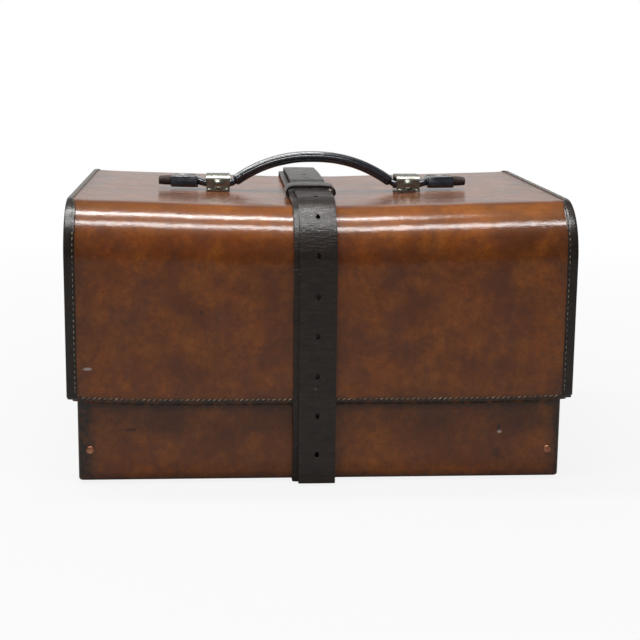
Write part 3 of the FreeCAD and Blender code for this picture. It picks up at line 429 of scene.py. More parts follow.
def thicken(skin, thickness):
    # A panel's surface gets its thickness inwards
    solid = skin.modifiers.new("thickness", "SOLIDIFY")
    solid.thickness = thickness * mm
    solid.offset = -1.0
    solid.use_even_offset = True
    settle(skin)
    skin.data.set_sharp_from_angle(angle=math.radians(40))


def wearEdges(piece, width, degrees):
    bevel = piece.modifiers.new("worn edges", "BEVEL")
    bevel.width = width * mm
    bevel.segments = 2
    bevel.limit_method = "ANGLE"
    bevel.angle_limit = math.radians(degrees)
    settle(piece)


def loft(rings, closed=True, caps=True):
    # Faces between rings of the same number of points
    count = len(rings[0])
    faces = []
    for row in range(0, (len(rings) - 1) * count, count):
        for col in range(count if closed else count - 1):
            after = (col + 1) % count
            faces.append((row + col, row + after, row + count + after, row + count + col))
    if caps:
        faces.append(tuple(range(count))[::-1])
        faces.append(tuple(range((len(rings) - 1) * count, len(rings) * count)))
    return [point for ring in rings for point in ring], faces


def bentPath(corners, step):
    # A run of straight lines and arcs, as (a, b, bend) corners. Gives (point, direction) pairs.
    spots = []

    def along(start, finish):
        length = (finish - start).length
        if length < 0.01:
            return
        count = max(1, round(length / step))
        heading = (finish - start) / length
        spots.extend((start.lerp(finish, index / count), heading) for index in range(count + 1))

    cursor = Vector(corners[0][:2])
    for before, corner, after in zip(corners, corners[1:], corners[2:]):
        here, bend = Vector(corner[:2]), corner[2]
        into = (here - Vector(before[:2])).normalized()
        out = (Vector(after[:2]) - here).normalized()
        turn = math.atan2(into.x * out.y - into.y * out.x, into.dot(out))
        reach = bend * math.tan(abs(turn) / 2)
        start = here - into * reach
        along(cursor, start)
        centre = start + Vector((-into.y, into.x)) * math.copysign(bend, turn)
        count = max(2, round(max(abs(turn) * bend / step, abs(turn) / math.radians(9))))
        for part in range(1, count):
            turning = Matrix.Rotation(turn * part / count, 2)
            spots.append((centre + turning @ (start - centre), turning @ into))
        cursor = here + out * reach
    along(cursor, Vector(corners[-1][:2]))
    clean = [spots[0]]
    for spot in spots[1:]:
        if (spot[0] - clean[-1][0]).length > 0.02:
            clean.append(spot)
    return clean


def measured(path):
    # The distance of each of a path's points from its start
    lengths = [0.0]
    for before, after in zip(path, path[1:]):
        lengths.append(lengths[-1] + (after[0] - before[0]).length)
    return lengths


def pathAt(path, lengths, distance):
    # The point and direction at a distance along a path
    index = 1
    while index < len(lengths) - 1 and lengths[index] < distance:
        index += 1
    share = clamp((distance - lengths[index - 1]) / max(lengths[index] - lengths[index - 1], 1e-6))
    return [one.lerp(other, share) for one, other in zip(path[index - 1], path[index])]


def outward(heading):
    return Vector((-heading.y, heading.x))


def bumpy(x, y, z, size):
    # Smooth unevenness from -1 to 1 with patches of the given size in millimetres
    return noise.noise(Vector((x, y, z)) / size)


def squared(part, count, sidePower, topPower):
    # One of count points round a rounded rectangle, as (across, up) from -1 to 1
    angle = 2 * math.pi * part / count
    return (math.copysign(abs(math.cos(angle)) ** sidePower, math.cos(angle)),
            math.copysign(abs(math.sin(angle)) ** topPower, math.sin(angle)))


# One tree places copies of a small piece on points, each turned by the point's own directions

def makeCopiesTree():
    tree = bpy.data.node_groups.new("copiesOnPoints", "GeometryNodeTree")
    for name, kind, value in (
            ("Geometry", "Geometry", None), ("Copy", "Object", None), ("Finish", "Material", None),
            ("Size", "Vector", (1.0, 1.0, 1.0)), ("Slant", "Float", 0.0), ("Unevenness", "Float", 0.0),
            ("Seed", "Int", 0)):
        socket = tree.interface.new_socket(name=name, in_out="INPUT", socket_type="NodeSocket" + kind)
        if value is not None:
            socket.default_value = value
    tree.interface.new_socket(name="Geometry", in_out="OUTPUT", socket_type="NodeSocketGeometry")
    given = addNode(tree, "NodeGroupInput").outputs
    source = addNode(tree, "GeometryNodeObjectInfo", {"Object": given["Copy"], "As Instance": True})
    along, out = (addNode(tree, "GeometryNodeInputNamedAttribute", {"Name": name},
                          data_type="FLOAT_VECTOR") for name in ("along", "out"))
    lie = addNode(tree, "FunctionNodeAlignRotationToVector", {"Vector": out}, axis="Z")
    turned = addNode(tree, "FunctionNodeAlignRotationToVector", {
        "Rotation": lie, "Vector": along}, axis="X", pivot_axis="Z")
    low = addNode(tree, "ShaderNodeMath", {0: given["Unevenness"], 1: -1.0}, operation="MULTIPLY")
    sway = addNode(tree, "FunctionNodeRandomValue", {
        2: low, 3: given["Unevenness"], "Seed": given["Seed"]}, data_type="FLOAT")
    slant = addNode(tree, "ShaderNodeMath", {0: sway.outputs[1], 1: given["Slant"]}, operation="ADD")
    twist = addNode(tree, "ShaderNodeCombineXYZ", {"Z": slant})
    spin = addNode(tree, "FunctionNodeEulerToRotation", {0: twist})
    rotation = addNode(tree, "FunctionNodeRotateRotation", {0: turned, 1: spin},
                       rotation_space="LOCAL")
    placed = addNode(tree, "GeometryNodeInstanceOnPoints", {
        "Points": given["Geometry"], "Instance": source.outputs["Geometry"],
        "Rotation": rotation, "Scale": given["Size"]})
    real = addNode(tree, "GeometryNodeRealizeInstances", {"Geometry": placed})
    finish = addNode(tree, "GeometryNodeSetMaterial", {
        "Geometry": real, "Material": given["Finish"]})
    addNode(tree, "NodeGroupOutput", {"Geometry": finish})
    return tree


copiesTree = makeCopiesTree()


def placeCopies(name, spots, copy, material, size=(1, 1, 1), slant=0.0, unevenness=0.0, seed=1):
    # spots are (place, along, out) in millimetres. The copies become one plain mesh.
    mesh = bpy.data.meshes.new(name)
    mesh.from_pydata([Vector(spot[0]) * mm for spot in spots], [], [])
    for key, part in (("along", 1), ("out", 2)):
        layer = mesh.attributes.new(key, "FLOAT_VECTOR", "POINT")
        layer.data.foreach_set("vector", [value for spot in spots for value in spot[part]])
    obj = bpy.data.objects.new(name, mesh)
    bpy.context.scene.collection.objects.link(obj)
    modifier = obj.modifiers.new("copies", "NODES")
    modifier.node_group = copiesTree
    values = {"Copy": copy, "Finish": material, "Size": size, "Slant": slant,
              "Unevenness": unevenness, "Seed": seed}
    for item in copiesTree.interface.items_tree:
        if item.in_out == "INPUT" and item.name in values:
            modifier[item.identifier] = values[item.name]
    bpy.context.view_layer.update()
    settle(obj)
    return obj


def carry(piece, body, slotName, *replaced):
    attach(piece, body)
    if replaced:
        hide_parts(*replaced)


# Lid

lid = {
    "half": 229.0, "deep": 175.0, "top": 257.4, "low": 78.1, "bend": 49.0, "rearBend": 20.0,
    "dip": 6.0, "dipFlat": 32.0,    # the top sinks by dip in the middle, level within dipFlat
    "leather": 3.4,
    "sag": 3.3,            # the hem hangs lower in the middle than at its ends
    "leftRise": 1.2,
    "hemReach": 70.0,      # how far above the hem the leather follows its line
    "cornerBend": 6.0, "cornerReach": 16.0,
    "step": 5.0, "acrossEnd": 28, "arcs": 18,
    "hemRows": (0.0, 0.5, 1.4, 3.0, 4.6, 5.3, 6.2, 8.5),
    "hemWide": 5.4, "hemDeep": 0.35, "stillRow": 9.0,
    "dent": 0.55, "ripple": 0.16,
    "darkReach": 34.0, "darkHem": 7.0,
}


def dipAt(x):
    away = max(abs(x), lid["dipFlat"])
    return lid["dip"] * (lid["half"] - away) / (lid["half"] - lid["dipFlat"])


def dropHem(x, y, z):
    # Moves a lid point near the hem with the hem's real line, which sags and has round corners
    height = z - lid["low"]
    if height > lid["hemReach"]:
        return z
    share = min(abs(x) / lid["half"], 1.0)
    shift = -lid["sag"] * (1 - share ** 5) + (lid["leftRise"] * share ** 6 if x < 0 else 0.0)
    z += shift * (1 - height / lid["hemReach"]) ** 2
    if height < lid["cornerReach"]:
        bend = lid["cornerBend"]
        gaps = (lid["half"] + 1 - abs(x), lid["deep"] + 1 - abs(y))
        lifts = [bend - math.sqrt(max(bend * bend - (bend - gap) ** 2, 0.0))
                 for gap, other in (gaps, gaps[::-1]) if gap < bend and other < bend * 2]
        z += max(lifts + [0.0]) * (1 - height / lid["cornerReach"])
    return z


def makeLidSkin():
    half, deep, low, hem, across = (lid[key] for key in ("half", "deep", "low", "hemRows", "acrossEnd"))
    wall = lid["top"] - lid["bend"] - low
    full = wall - lid["dip"]
    count = round((wall - hem[-1]) / lid["step"])
    rises = list(hem) + [hem[-1] + (full - hem[-1]) * index / count for index in range(1, count)]

    def wallRows(x, bend):
        # How deep and how high each row lies, for a side with this bend at its top
        top = lid["top"] - dipAt(x) - bend
        stretch = (top - low - full) / (full - lid["stillRow"])
        rows = [(deep, low + rise + stretch * max(0, rise - lid["stillRow"])) for rise in rises]
        angles = [math.pi / 2 * index / lid["arcs"] for index in range(lid["arcs"] + 1)]
        return rows + [(deep - bend + bend * math.cos(a), top + bend * math.sin(a)) for a in angles]

    rings = []
    stations = round(half * 2 / lid["step"])
    for station in range(stations + 1):
        x = -half + 2 * half * station / stations
        front, rear = wallRows(x, lid["bend"]), wallRows(x, lid["rearBend"])
        near, far = front[-1][0], rear[-1][0]
        middle = [(-near + (near + far) * index / across, front[-1][1]) for index in range(1, across)]
        rings.append([(x, y, z) for y, z in [(-y, z) for y, z in front] + middle + rear[::-1]])
    points, faces = loft(rings, closed=False, caps=False)
    for end in (-half, half):
        first = len(points)
        sides = list(zip(wallRows(end, lid["bend"]), wallRows(end, lid["rearBend"])))
        for (near, nearHigh), (far, farHigh) in sides:
            points += [(end, -near + (near + far) * index / across,
                        nearHigh + (farHigh - nearHigh) * index / across) for index in range(across + 1)]
        for row in range(len(sides) - 1):
            for spot in range(first + row * (across + 1), first + row * (across + 1) + across):
                quad = (spot, spot + 1, spot + across + 2, spot + across + 1)
                faces.append(quad if end > 0 else quad[::-1])
    shaped = []
    dark = []
    for x, y, z in points:
        height = z - low
        inward = lid["dent"] * (0.5 + 0.5 * bumpy(x, y, z, 62.0))
        inward += lid["ripple"] * (0.5 + 0.5 * bumpy(x + 50, y, z, 21.0))
        if height < lid["hemWide"]:
            inward += lid["hemDeep"] * 0.5
        elif height < lid["hemWide"] + 1.0:
            inward += lid["hemDeep"]
        if abs(x) > half - 12 or height < 1:
            inward *= 0.25
        if abs(x) > half - 0.01:
            nx, ny, nz = math.copysign(1, x), 0, 0
            gap = min(deep - abs(y), lid["top"] - z)
        else:
            bend = lid["bend"] if y < 0 else lid["rearBend"]
            rise = clamp((z - (lid["top"] - bend - dipAt(x))) / bend)
            angle = math.asin(rise) if abs(y) > deep - bend - 0.01 else math.pi / 2
            nx, ny, nz = 0, math.copysign(math.cos(angle), y), math.sin(angle)
            gap = half - abs(x)
        shaped.append((x - nx * inward, y - ny * inward, dropHem(x, y, z) - nz * inward))
        dark.append(max(0.5 * max(0.0, 1 - gap / lid["darkReach"]) ** 2,
                        0.9 * clamp((lid["darkHem"] - height) / 2.5)))
    skin = newPiece("lidLeather", shaped, faces, cowhide, 40.0, marks={"darkEdgesAndHemShadow": dark})
    thicken(skin, lid["leather"])
    carry(skin, "lid", "case_leather", "lid_cover", "lid_end_left", "lid_end_right")


makeLidSkin()
print("stage: lid leather")

edgeStrip = {
    # Along X from the leather's end and out from its face, round the folded strip
    "section": ((-8.6, 0.0), (-8.65, 0.55), (-8.1, 0.95), (-7.3, 0.97), (-6.8, 0.72), (-6.3, 0.97),
                (-4.4, 1.02), (-2.2, 1.05), (-0.6, 1.05), (0.35, 0.9), (0.9, 0.35), (1.05, -0.6),
                (1.05, -2.2), (1.02, -4.4), (0.97, -6.3), (0.72, -6.8), (0.97, -7.3), (0.95, -8.1),
                (0.55, -8.65), (0.0, -8.6), (-0.1, -0.1)),
    "step": 4.0, "proud": 0.95,
    "stitchLine": 6.8, "stitchPitch": 5.2, "stitchEnds": 8.0,
    "fixed": 3.0, "narrowing": 0.85,    # beyond fixed, the leg on the top loses this share
}


def lidPath(x, step):
    deep, top, low = lid["deep"], lid["top"] - dipAt(x), lid["low"]
    return bentPath([(-deep, low, 0), (-deep, top, lid["bend"]), (deep, top, lid["rearBend"]),
                     (deep, low, 0)], step)


def legReach(reach, y):
    # The binding's leg on the cover is narrower along the top than down the front and the rear
    onTop = clamp((y + lid["deep"] - 24.0) / 26.0) * clamp((lid["deep"] - 6.0 - y) / 12.0)
    fixed = edgeStrip["fixed"]
    return reach if reach < fixed else fixed + (reach - fixed) * (1 - edgeStrip["narrowing"] * onTop)


def makeLidBindings():
    for side, tag in ((-1, "left"), (1, "right")):
        edge = lid["half"] * side
        path = lidPath(edge - 4 * side, edgeStrip["step"])
        rings = []
        for (spot, heading), distance in zip(path, measured(path)):
            ring = []
            for reach, proud in edgeStrip["section"]:
                grow = 0.12 * bumpy(distance, reach * side * 9, side * 40, 14.0)
                if proud > -0.05 and reach < 0:
                    reach = -legReach(-reach, spot.x)
                x = edge + reach * side + (0.3 * bumpy(distance, 7, side, 30.0) if abs(reach) > 7 else 0)
                flat = spot + outward(heading) * (proud + grow)
                ring.append((x, flat.x, dropHem(x, flat.x, flat.y)))
            rings.append(ring)
        strip = newPiece("lidBinding_" + tag, *loft(rings), edging, 50.0)
        carry(strip, "lid", "binding_leather", "lid_binding_" + tag)


makeLidBindings()

facing = {"half": 224.9, "deep": 170.9, "thick": 1.0, "low": 78.4, "high": 91.0, "step": 9.0}


def makeFacing(settings):
    # A strip pasted inside the lid's lower edge, which follows the hem
    def outline(inset):
        across, back = settings["half"] - inset, settings["deep"] - inset
        corners = [(-across, -back), (across, -back), (across, back), (-across, back)]
        points = []
        for (x, y), (nx, ny) in zip(corners, corners[1:] + corners[:1]):
            count = round(settings["half" if abs(nx - x) > 1 else "deep"] * 2 / settings["step"])
            points += [(x + (nx - x) * part / count, y + (ny - y) * part / count) for part in range(count)]
        return points

    low, high, thick = settings["low"], settings["high"], settings["thick"]
    rings = [[(x, y, dropHem(x, y, height)) for x, y in outline(inset)]
             for inset, height in ((0, low), (0, high), (thick, high), (thick, low), (0, low))]
    strip = newPiece("lidFacing", *loft(rings, caps=False), braceHide, 40.0)
    carry(strip, "lid", "lining_cloth", "lid_facing")


makeFacing(facing)

stitch = {"long": 3.1, "wide": 0.95, "high": 0.75, "hemHeight": 5.0, "hemEnds": 9.0, "hemPitch": 4.9}


def makeStitchCopy():
    # One stitch is a short bead of thread that dives into the leather at both ends
    rings = []
    for share, size in ((-0.5, 0.35), (-0.36, 0.8), (0.0, 1.0), (0.36, 0.8), (0.5, 0.35)):
        drop = -0.45 * stitch["high"] * (2 * share) ** 2
        rings.append([(share * stitch["long"], 0.5 * stitch["wide"] * size * math.cos(angle),
                       drop + 0.5 * stitch["high"] * size * math.sin(angle))
                      for angle in (math.radians(60 * step) for step in range(6))])
    return newPiece("stitchCopy", *loft(rings), thread, 80.0)


stitchCopy = makeStitchCopy()


def makeLidStitches():
    spots = []
    line, proud = edgeStrip["stitchLine"], edgeStrip["proud"]
    for side in (-1, 1):
        x = (lid["half"] - line) * side
        endX = (lid["half"] + proud) * side
        path = lidPath(x, 2.0)
        lengths = measured(path)
        distance = edgeStrip["stitchEnds"]
        while distance < lengths[-1] - edgeStrip["stitchEnds"]:
            spot, heading = pathAt(path, lengths, distance)
            heading = heading.normalized()
            along, out = (0, heading.x, heading.y), outward(heading)
            face, under = spot + out * proud, spot - out * line
            seam = (lid["half"] - legReach(line, spot.x)) * side
            spots.append(((seam, face.x, dropHem(x, face.x, face.y)), along, (0, out.x, out.y)))
            spots.append(((endX, under.x, dropHem(endX, under.x, under.y)), along, (side, 0, 0)))
            distance += edgeStrip["stitchPitch"]
    rows = placeCopies("bindingStitches", spots, stitchCopy, thread, (0.92, 0.9, 1.0), 0.0, 0.12, 3)
    carry(rows, "lid", "binding_leather")
    # The hem row runs round all four sides, just above the lower edge
    spots = []
    height = lid["low"] + stitch["hemHeight"]
    for reach, wall in ((lid["half"], lid["deep"]), (lid["deep"], lid["half"])):
        reach -= stitch["hemEnds"]
        count = round(reach * 2 / stitch["hemPitch"])
        for index in range(count + 1):
            along = -reach + 2 * reach * index / count
            for side in (-1, 1):
                out = (wall - 0.05) * side
                if wall == lid["deep"]:
                    spots.append(((along, out, dropHem(along, out, height)), (-side, 0, 0), (0, side, 0)))
                else:
                    spots.append(((out, along, dropHem(out, along, height)), (0, side, 0), (side, 0, 0)))
    rows = placeCopies("hemStitches", spots, stitchCopy, thread, (1.12, 1.15, 1.05), 0.5, 0.14, 5)
    carry(rows, "lid", "case_leather")


makeLidStitches()
print("stage: lid bindings and stitches")

# Base

base = {
    "half": 221.5, "deep": 167.5, "top": 207.0, "low": 3.4, "leather": 3.9,
    "cornerBend": 3.0, "bottomBend": 2.6, "step": 5.0, "dent": 0.35,
    "edgeLeft": 14.0, "edgeRight": 7.0,    # how far the dark of the end edges reaches in
    "stainLow": 68.0, "hemShadowHigh": 112.0,  # where the painted shadow under the lid's hem falls
}


def makeBaseSkin():
    bend, low, curve = base["cornerBend"], base["low"], base["bottomBend"]

    def outline(inset):
        # Points round the base at one height, anticlockwise from the front left
        points = []
        across, back = base["half"] - inset, base["deep"] - inset
        corners = ((-across, -back, 180), (across, -back, 270), (across, back, 0), (-across, back, 90))
        for (x, y, start), (nx, ny, _) in zip(corners, corners[1:] + corners[:1]):
            cx, cy = x - math.copysign(bend, x), y - math.copysign(bend, y)
            for part in range(4):
                angle = math.radians(start + 30 * part)
                points.append((cx + bend * math.cos(angle), cy + bend * math.sin(angle)))
            sx, sy = points[-1]
            alongX = abs(nx - x) > 1
            ex = nx - math.copysign(bend, nx) if alongX else sx
            ey = sy if alongX else ny - math.copysign(bend, ny)
            count = round(2 * (base["half" if alongX else "deep"] - bend) / base["step"])
            points += [(sx + (ex - sx) * part / count, sy + (ey - sy) * part / count)
                       for part in range(1, count)]
        return points

    rows = [(low, 60.0), (low, 30.0), (low, 12.0), (low, curve)]
    rows += [(low + curve - curve * math.cos(math.radians(a)), curve - curve * math.sin(math.radians(a)))
             for a in (30, 60, 90)]
    tall = base["top"] - low - curve
    count = round(tall / base["step"])
    rows += [(low + curve + tall * index / count, 0.0) for index in range(1, count + 1)]
    rings = [[(x, y, z) for x, y in outline(inset)] for z, inset in rows]
    points, faces = loft(rings, caps=False)
    faces.append(tuple(range(len(rings[0])))[::-1])
    shaped = []
    dark = []
    for x, y, z in points:
        sideGap, frontGap = base["half"] - abs(x), base["deep"] - abs(y)
        onEnd = sideGap < 0.1 and frontGap > bend
        nx, ny = (math.copysign(1, x), 0) if onEnd else (0, math.copysign(1, y))
        inward = base["dent"] * (0.5 + 0.5 * bumpy(x, y, z + 300, 58.0)) * clamp((base["top"] - z) / 20)
        if z <= low + 6 or sideGap < bend + 0.1 and frontGap < bend + 0.1:
            inward = 0.0
        shaped.append((x - nx * inward, y - ny * inward, z))
        reach = base["edgeLeft"] if x < 0 else base["edgeRight"]
        # fading and the last two terms below paint the shadow under the lid's hem
        fading = clamp((base["hemShadowHigh"] - z) / 30, 0.3)
        dark.append(max(0.14, 0.95 * clamp(1.5 - (frontGap if onEnd else sideGap) / reach),
                        0.9 * max(0.0, 1 - (z - low) / 6.0),
                        0.5 * clamp((z - base["stainLow"] + 16) / 40) * fading,
                        0.95 * clamp((z - base["stainLow"]) / 7) * fading))
    skin = newPiece("baseLeather", shaped, faces, cowhide, 40.0, marks={"darkEdgesAndHemShadow": dark})
    thicken(skin, base["leather"])
    carry(skin, "base", "case_leather", "base_front_panel", "base_rear_panel", "base_end_left",
          "base_end_right", "base_bottom")


makeBaseSkin()
print("stage: base leather")

# The strap is one length of harness leather. Each band is a grid with walls, so that holes
# can be left out. A route is (y, z, bend) corners of the leather's middle.

strap = {
    "thick": 3.4, "wide": 33.5, "step": 4.0,
    "innerMiddle": -10.0, "tailMiddle": -5.0,
    "holes": [27.1 + 36.5 * step for step in range(13)],
    "holeHalfWide": 1.9, "holeHalfLong": 2.8, "holeRound": 0.45, "holeCorner": 0.72,
    "columns": (1.0, 0.9, 0.68, 0.45, 0.22),    # shares of half the width
    "crown": 0.28, "ragged": 0.22, "edgeWear": 0.55,
    "upper": [(-177, 200.05, 0), (-177, 255.2, 51), (177, 255.2, 22), (177, 145.9, 4.1),
              (185.2, 145.9, 4.1), (185.2, 155.0, 8), (180.5, 174.0, 12), (180.5, 186, 0)],
    "lower": [(177, 126.0, 0), (177, 78.1, 40), (169.6, 1.7, 4.2), (-169.6, 1.7, 4.2),
              (-177, 78.1, 60), (-177, 200.0, 0)],
    "tail": [(-180.7, 3.0, 0), (-180.7, 258.9, 54.7), (-25, 258.9, 40), (-1, 261.4, 40),
             (76, 261.4, 60), (180.7, 258.9, 25.7), (180.7, 198, 12), (184.5, 186, 12),
             (184.5, 180, 12), (188.9, 158, 12), (188.9, 142, 12), (177, 130, 6), (177, 127.0, 0)],
}


def makeBand(name, route, middle, seed, wave, holes=()):
    path = bentPath(route, strap["step"])
    lengths = measured(path)
    half = strap["wide"] / 2
    wide, long, inner = (strap[key] for key in ("holeHalfWide", "holeHalfLong", "holeRound"))
    columns = [-half * share for share in strap["columns"]] + [-wide * share for share in (1.8, 1.0, inner)]
    columns += [-c for c in columns[::-1]]
    stations = list(lengths)
    for hole in holes:
        if hole < lengths[-1] - 6:
            stations = [s for s in stations if abs(s - hole) > long + 1.2]
            stations += [hole + long * share for share in (-1, -inner, inner, 1)]
    stations.sort()
    points = []
    uv = []
    for level in (1, -1):
        for station in stations:
            spot, heading = pathAt(path, lengths, station)
            out = outward(heading.normalized())
            edge = strap["ragged"] * bumpy(station, seed, level, 24.0)
            # The hole's inner corners move outwards, which makes it round
            holeAway = min([abs(abs(station - hole) - long * inner) for hole in holes] + [1.0])
            for across in columns:
                x = across + (edge if abs(across) > half * 0.95 else 0)
                if holeAway < 0.01 and abs(abs(across) - wide * inner) < 0.01:
                    x = math.copysign(wide * strap["holeCorner"], across)
                rise = wave * (bumpy(station, across * 1.2, seed * 7, 19.0) * 0.5 - 0.2)
                crown = -strap["crown"] * (across / half) ** 4 if level > 0 else 0
                flat = spot + out * (level * (strap["thick"] / 2 + crown) + rise)
                points.append((middle + x, flat.x, flat.y))
                uv.append(((across + 20.0) * mm + 0.05 * seed, station * mm))
    count = len(columns)
    below = len(stations) * count
    faces = []
    edges = {}
    for row in range(len(stations) - 1):
        centre = (stations[row] + stations[row + 1]) / 2
        away = min([abs(centre - hole) for hole in holes] + [long + 1.0])
        for col in range(count - 1):
            side = abs(columns[col] + columns[col + 1]) / 2
            if away < long and side < wide and (away <= long * inner or side <= wide * inner):
                continue
            spot = row * count + col
            quad = (spot, spot + 1, spot + count + 1, spot + count)
            faces.append(quad)
            faces.append(tuple(i + below for i in quad[::-1]))
            for first, second in zip(quad, quad[1:] + quad[:1]):
                key = (min(first, second), max(first, second))
                edges[key] = None if key in edges else (first, second)
    faces += [(second, first, first + below, second + below)
              for first, second in filter(None, edges.values())]
    piece = newPiece(name, points, faces, harness, 45.0, uv=uv)
    wearEdges(piece, strap["edgeWear"], 50)
    return piece


upper = makeBand("strapInnerUpper", strap["upper"], strap["innerMiddle"], 1.0, 0.2)
carry(upper, "lid", "strap_leather", "strap_upper")
lower = makeBand("strapInnerLower", strap["lower"], strap["innerMiddle"], 2.0, 0.2)
carry(lower, "base", "strap_leather", "strap_lower")
tail = makeBand("strapTail", strap["tail"], strap["tailMiddle"], 3.0, 0.3, strap["holes"])
carry(tail, "lid", "strap_leather", "strap_tail")
print("stage: strap")

keeper = {
    # low, high, left, right and bend of the loop's two sides
    "outer": (251.8, 264.2, -30.0, 19.0, 5.0),
    "inner": (253.1, 261.7, -27.4, 16.4, 1.2),
    "front": -68.8, "rear": -34.0, "steps": 9,
    "bow": 1.12, "bowFrom": 256.0,         # the front edge bows forwards above this height
    "droop": 2.4, "droopFrom": 257.0,      # the shoulders of the top hang
}


def makeKeeper(settings):
    def ring(low, high, left, right, bend, y, bow):
        corners = []
        for cx, cz, start in ((right - bend, high - bend, 0), (left + bend, high - bend, 90),
                              (left + bend, low + bend, 180), (right - bend, low + bend, 270)):
            for angle in (math.radians(start + 22.5 * part) for part in range(5)):
                corners.append((cx + bend * math.cos(angle), cz + bend * math.sin(angle)))
        # More points between the corners, so that the top can dome
        points = []
        for (x, z), (nx, nz) in zip(corners, corners[1:] + corners[:1]):
            count = max(1, round(math.hypot(nx - x, nz - z) / 4))
            points += [(x + (nx - x) * k / count, z + (nz - z) * k / count) for k in range(count)]
        shaped = []
        for x, z in points:
            away = abs(x - (left + right) / 2) / ((right - left) / 2)
            forward = bow * (1 - away ** 2) if z > settings["bowFrom"] else 0
            drop = settings["droop"] * away ** 4 if z > settings["droopFrom"] else 0
            shaped.append((x, y - forward + 0.3 * bumpy(x, y, z, 9.0), z - drop))
        return shaped

    steps = settings["steps"]
    rings = []
    for name, order in (("outer", range(steps + 1)), ("inner", range(steps, -1, -1))):
        low, high, left, right, bend = settings[name]
        for index in order:
            share = index / steps
            y = settings["front"] + (settings["rear"] - settings["front"]) * share
            soft = 0.5 if index in (0, steps) and name == "outer" else 0.0
            rings.append(ring(low, high - soft, left + soft * 0.6, right - soft * 0.6, bend, y,
                              settings["bow"] * (1 - share)))
    size = min(len(points) for points in rings)
    for index, points in enumerate(rings):
        path = [(Vector(point),) for point in points + points[:1]]
        lengths = measured(path)
        rings[index] = [tuple(pathAt(path, lengths, lengths[-1] * step / size)[0]) for step in range(size)]
    points, faces = loft(rings + rings[:1], caps=False)
    uv = [((x + 40) * mm, (y + 90) * mm) for x, y, z in points]
    piece = newPiece("strapKeeper", points, faces, harness, 45.0, uv=uv)
    carry(piece, "lid", "strap_leather", "strap_keeper")


makeKeeper(keeper)

# Studs, rivets and pins are turned heads, set by the same tree as the stitches

heads = [
    # piece, outline as (radius, height), steps round, metal, body, slot, node, places
    ("loopStuds", ((4.9, -0.6), (5.2, 0.0), (5.1, 0.5), (4.7, 0.9), (4.1, 1.1), (3.9, 1.9), (3.2, 2.8),
                   (2.0, 3.4), (0.8, 3.58)), 16, nickel, "lid", "nickel_brass", "loop_studs",
     [((94.0 * side, y, 260.3), (1, 0, 0), (0, out, 0))
      for side in (-1, 1) for y, out in ((-24.0, -1), (8.0, 1))]),
    ("cornerRivets", ((3.7, -0.3), (3.75, 0.15), (3.55, 0.6), (2.9, 1.1), (1.9, 1.45), (0.8, 1.58)),
     14, copper, "base", "copper", "base_corner_rivets",
     [((x, 167.4 * out, z), (1, 0, 0), (0, out, 0))
      for x, z in ((-210.5, 32.4), (210.5, 29.4)) for out in (-1, 1)]),
    ("loopPins", ((1.9, -0.9), (2.0, -0.5), (1.7, -0.1), (0.7, 0.1)), 10, nickel, "lid", "nickel_brass",
     "loop_pins", [((x * side, y, 256.0), (1, 0, 0), (0, 0, 1))
                   for side in (-1, 1) for x in (85.8, 102.2) for y in (-26.25, 10.25)]),
]
for name, outline, steps, metal, body, slotName, node, spots in heads:
    turns = [2 * math.pi * step / steps for step in range(steps)]
    rings = [[(radius * math.cos(turn), radius * math.sin(turn), height) for turn in turns]
             for radius, height in outline]
    head = newPiece(name + "Copy", *loft(rings), metal)
    carry(placeCopies(name, spots, head, metal), body, slotName, node)
    bpy.data.objects.remove(head)
print("stage: keeper and fastenings")


# Handle

handle = {
    "middle": -8.0,
    "route": [(-140.5, 262.29, 0), (-113.5, 262.29, 12), (-105.5, 259.99, 12), (-80, 259.99, 18),
              (-42, 286.19, 125), (42, 286.19, 125), (80, 259.99, 18), (105.5, 259.99, 12),
              (113.5, 262.29, 12), (140.5, 262.29, 0)],
    "step": 2.5,
    "gripEnd": 78.0, "gripHalfThick": 5.2, "gripHalfWide": 11.0, "gripPoints": 60,
    "grooves": (24.0, 60.0, 120.0, 156.0, 192.0, 348.0),    # degrees round the grip, with the top at 90
    "grooveDeep": 0.13, "grooveWide": 5.0,
    "coreEnd": 140.2, "coreHalfWide": 8.8, "coreHalfThick": 3.0,
    "neckFrom": 79.0, "neckTo": 113.0, "neckHalfWide": 12.5, "neckHalfThick": 3.35,
}


def handleRings(settings, end, count, shape):
    # Rings along the handle up to end on both sides. shape gives a ring point's (across, out).
    rings = []
    for spot, heading in bentPath(settings["route"], settings["step"]):
        if abs(spot.x) <= end:
            ring = []
            for part in range(count):
                across, proud = shape(spot.x, part)
                flat = spot + outward(heading) * proud
                ring.append((flat.x, settings["middle"] + across, flat.y))
            rings.append(ring)
    return rings


def makeGrip(settings):
    def shape(x, part):
        ended = abs(x) / settings["gripEnd"] > 0.975
        wide = settings["gripHalfWide"] * (0.93 if ended else 1)
        thick = settings["gripHalfThick"] * (0.9 if ended else 1)
        y, n = squared(part, settings["gripPoints"], 0.7, 0.7)
        degrees = 360 * part / settings["gripPoints"]
        groove = max(math.exp(-((degrees - line) / settings["grooveWide"]) ** 2)
                     for line in settings["grooves"])
        full = 1 - settings["grooveDeep"] * groove
        return y * wide * full, n * thick * full + 0.1 * bumpy(x, y * 9, n * 9, 9.0)

    rings = handleRings(settings, settings["gripEnd"], settings["gripPoints"], shape)
    piece = newPiece("handleGrip", *loft(rings), handleHide, 60.0)
    smooth = piece.modifiers.new("smooth", "SUBSURF")
    smooth.levels = smooth.render_levels = 1
    settle(piece)
    carry(piece, "handle", "handle_leather", "handle_grip")


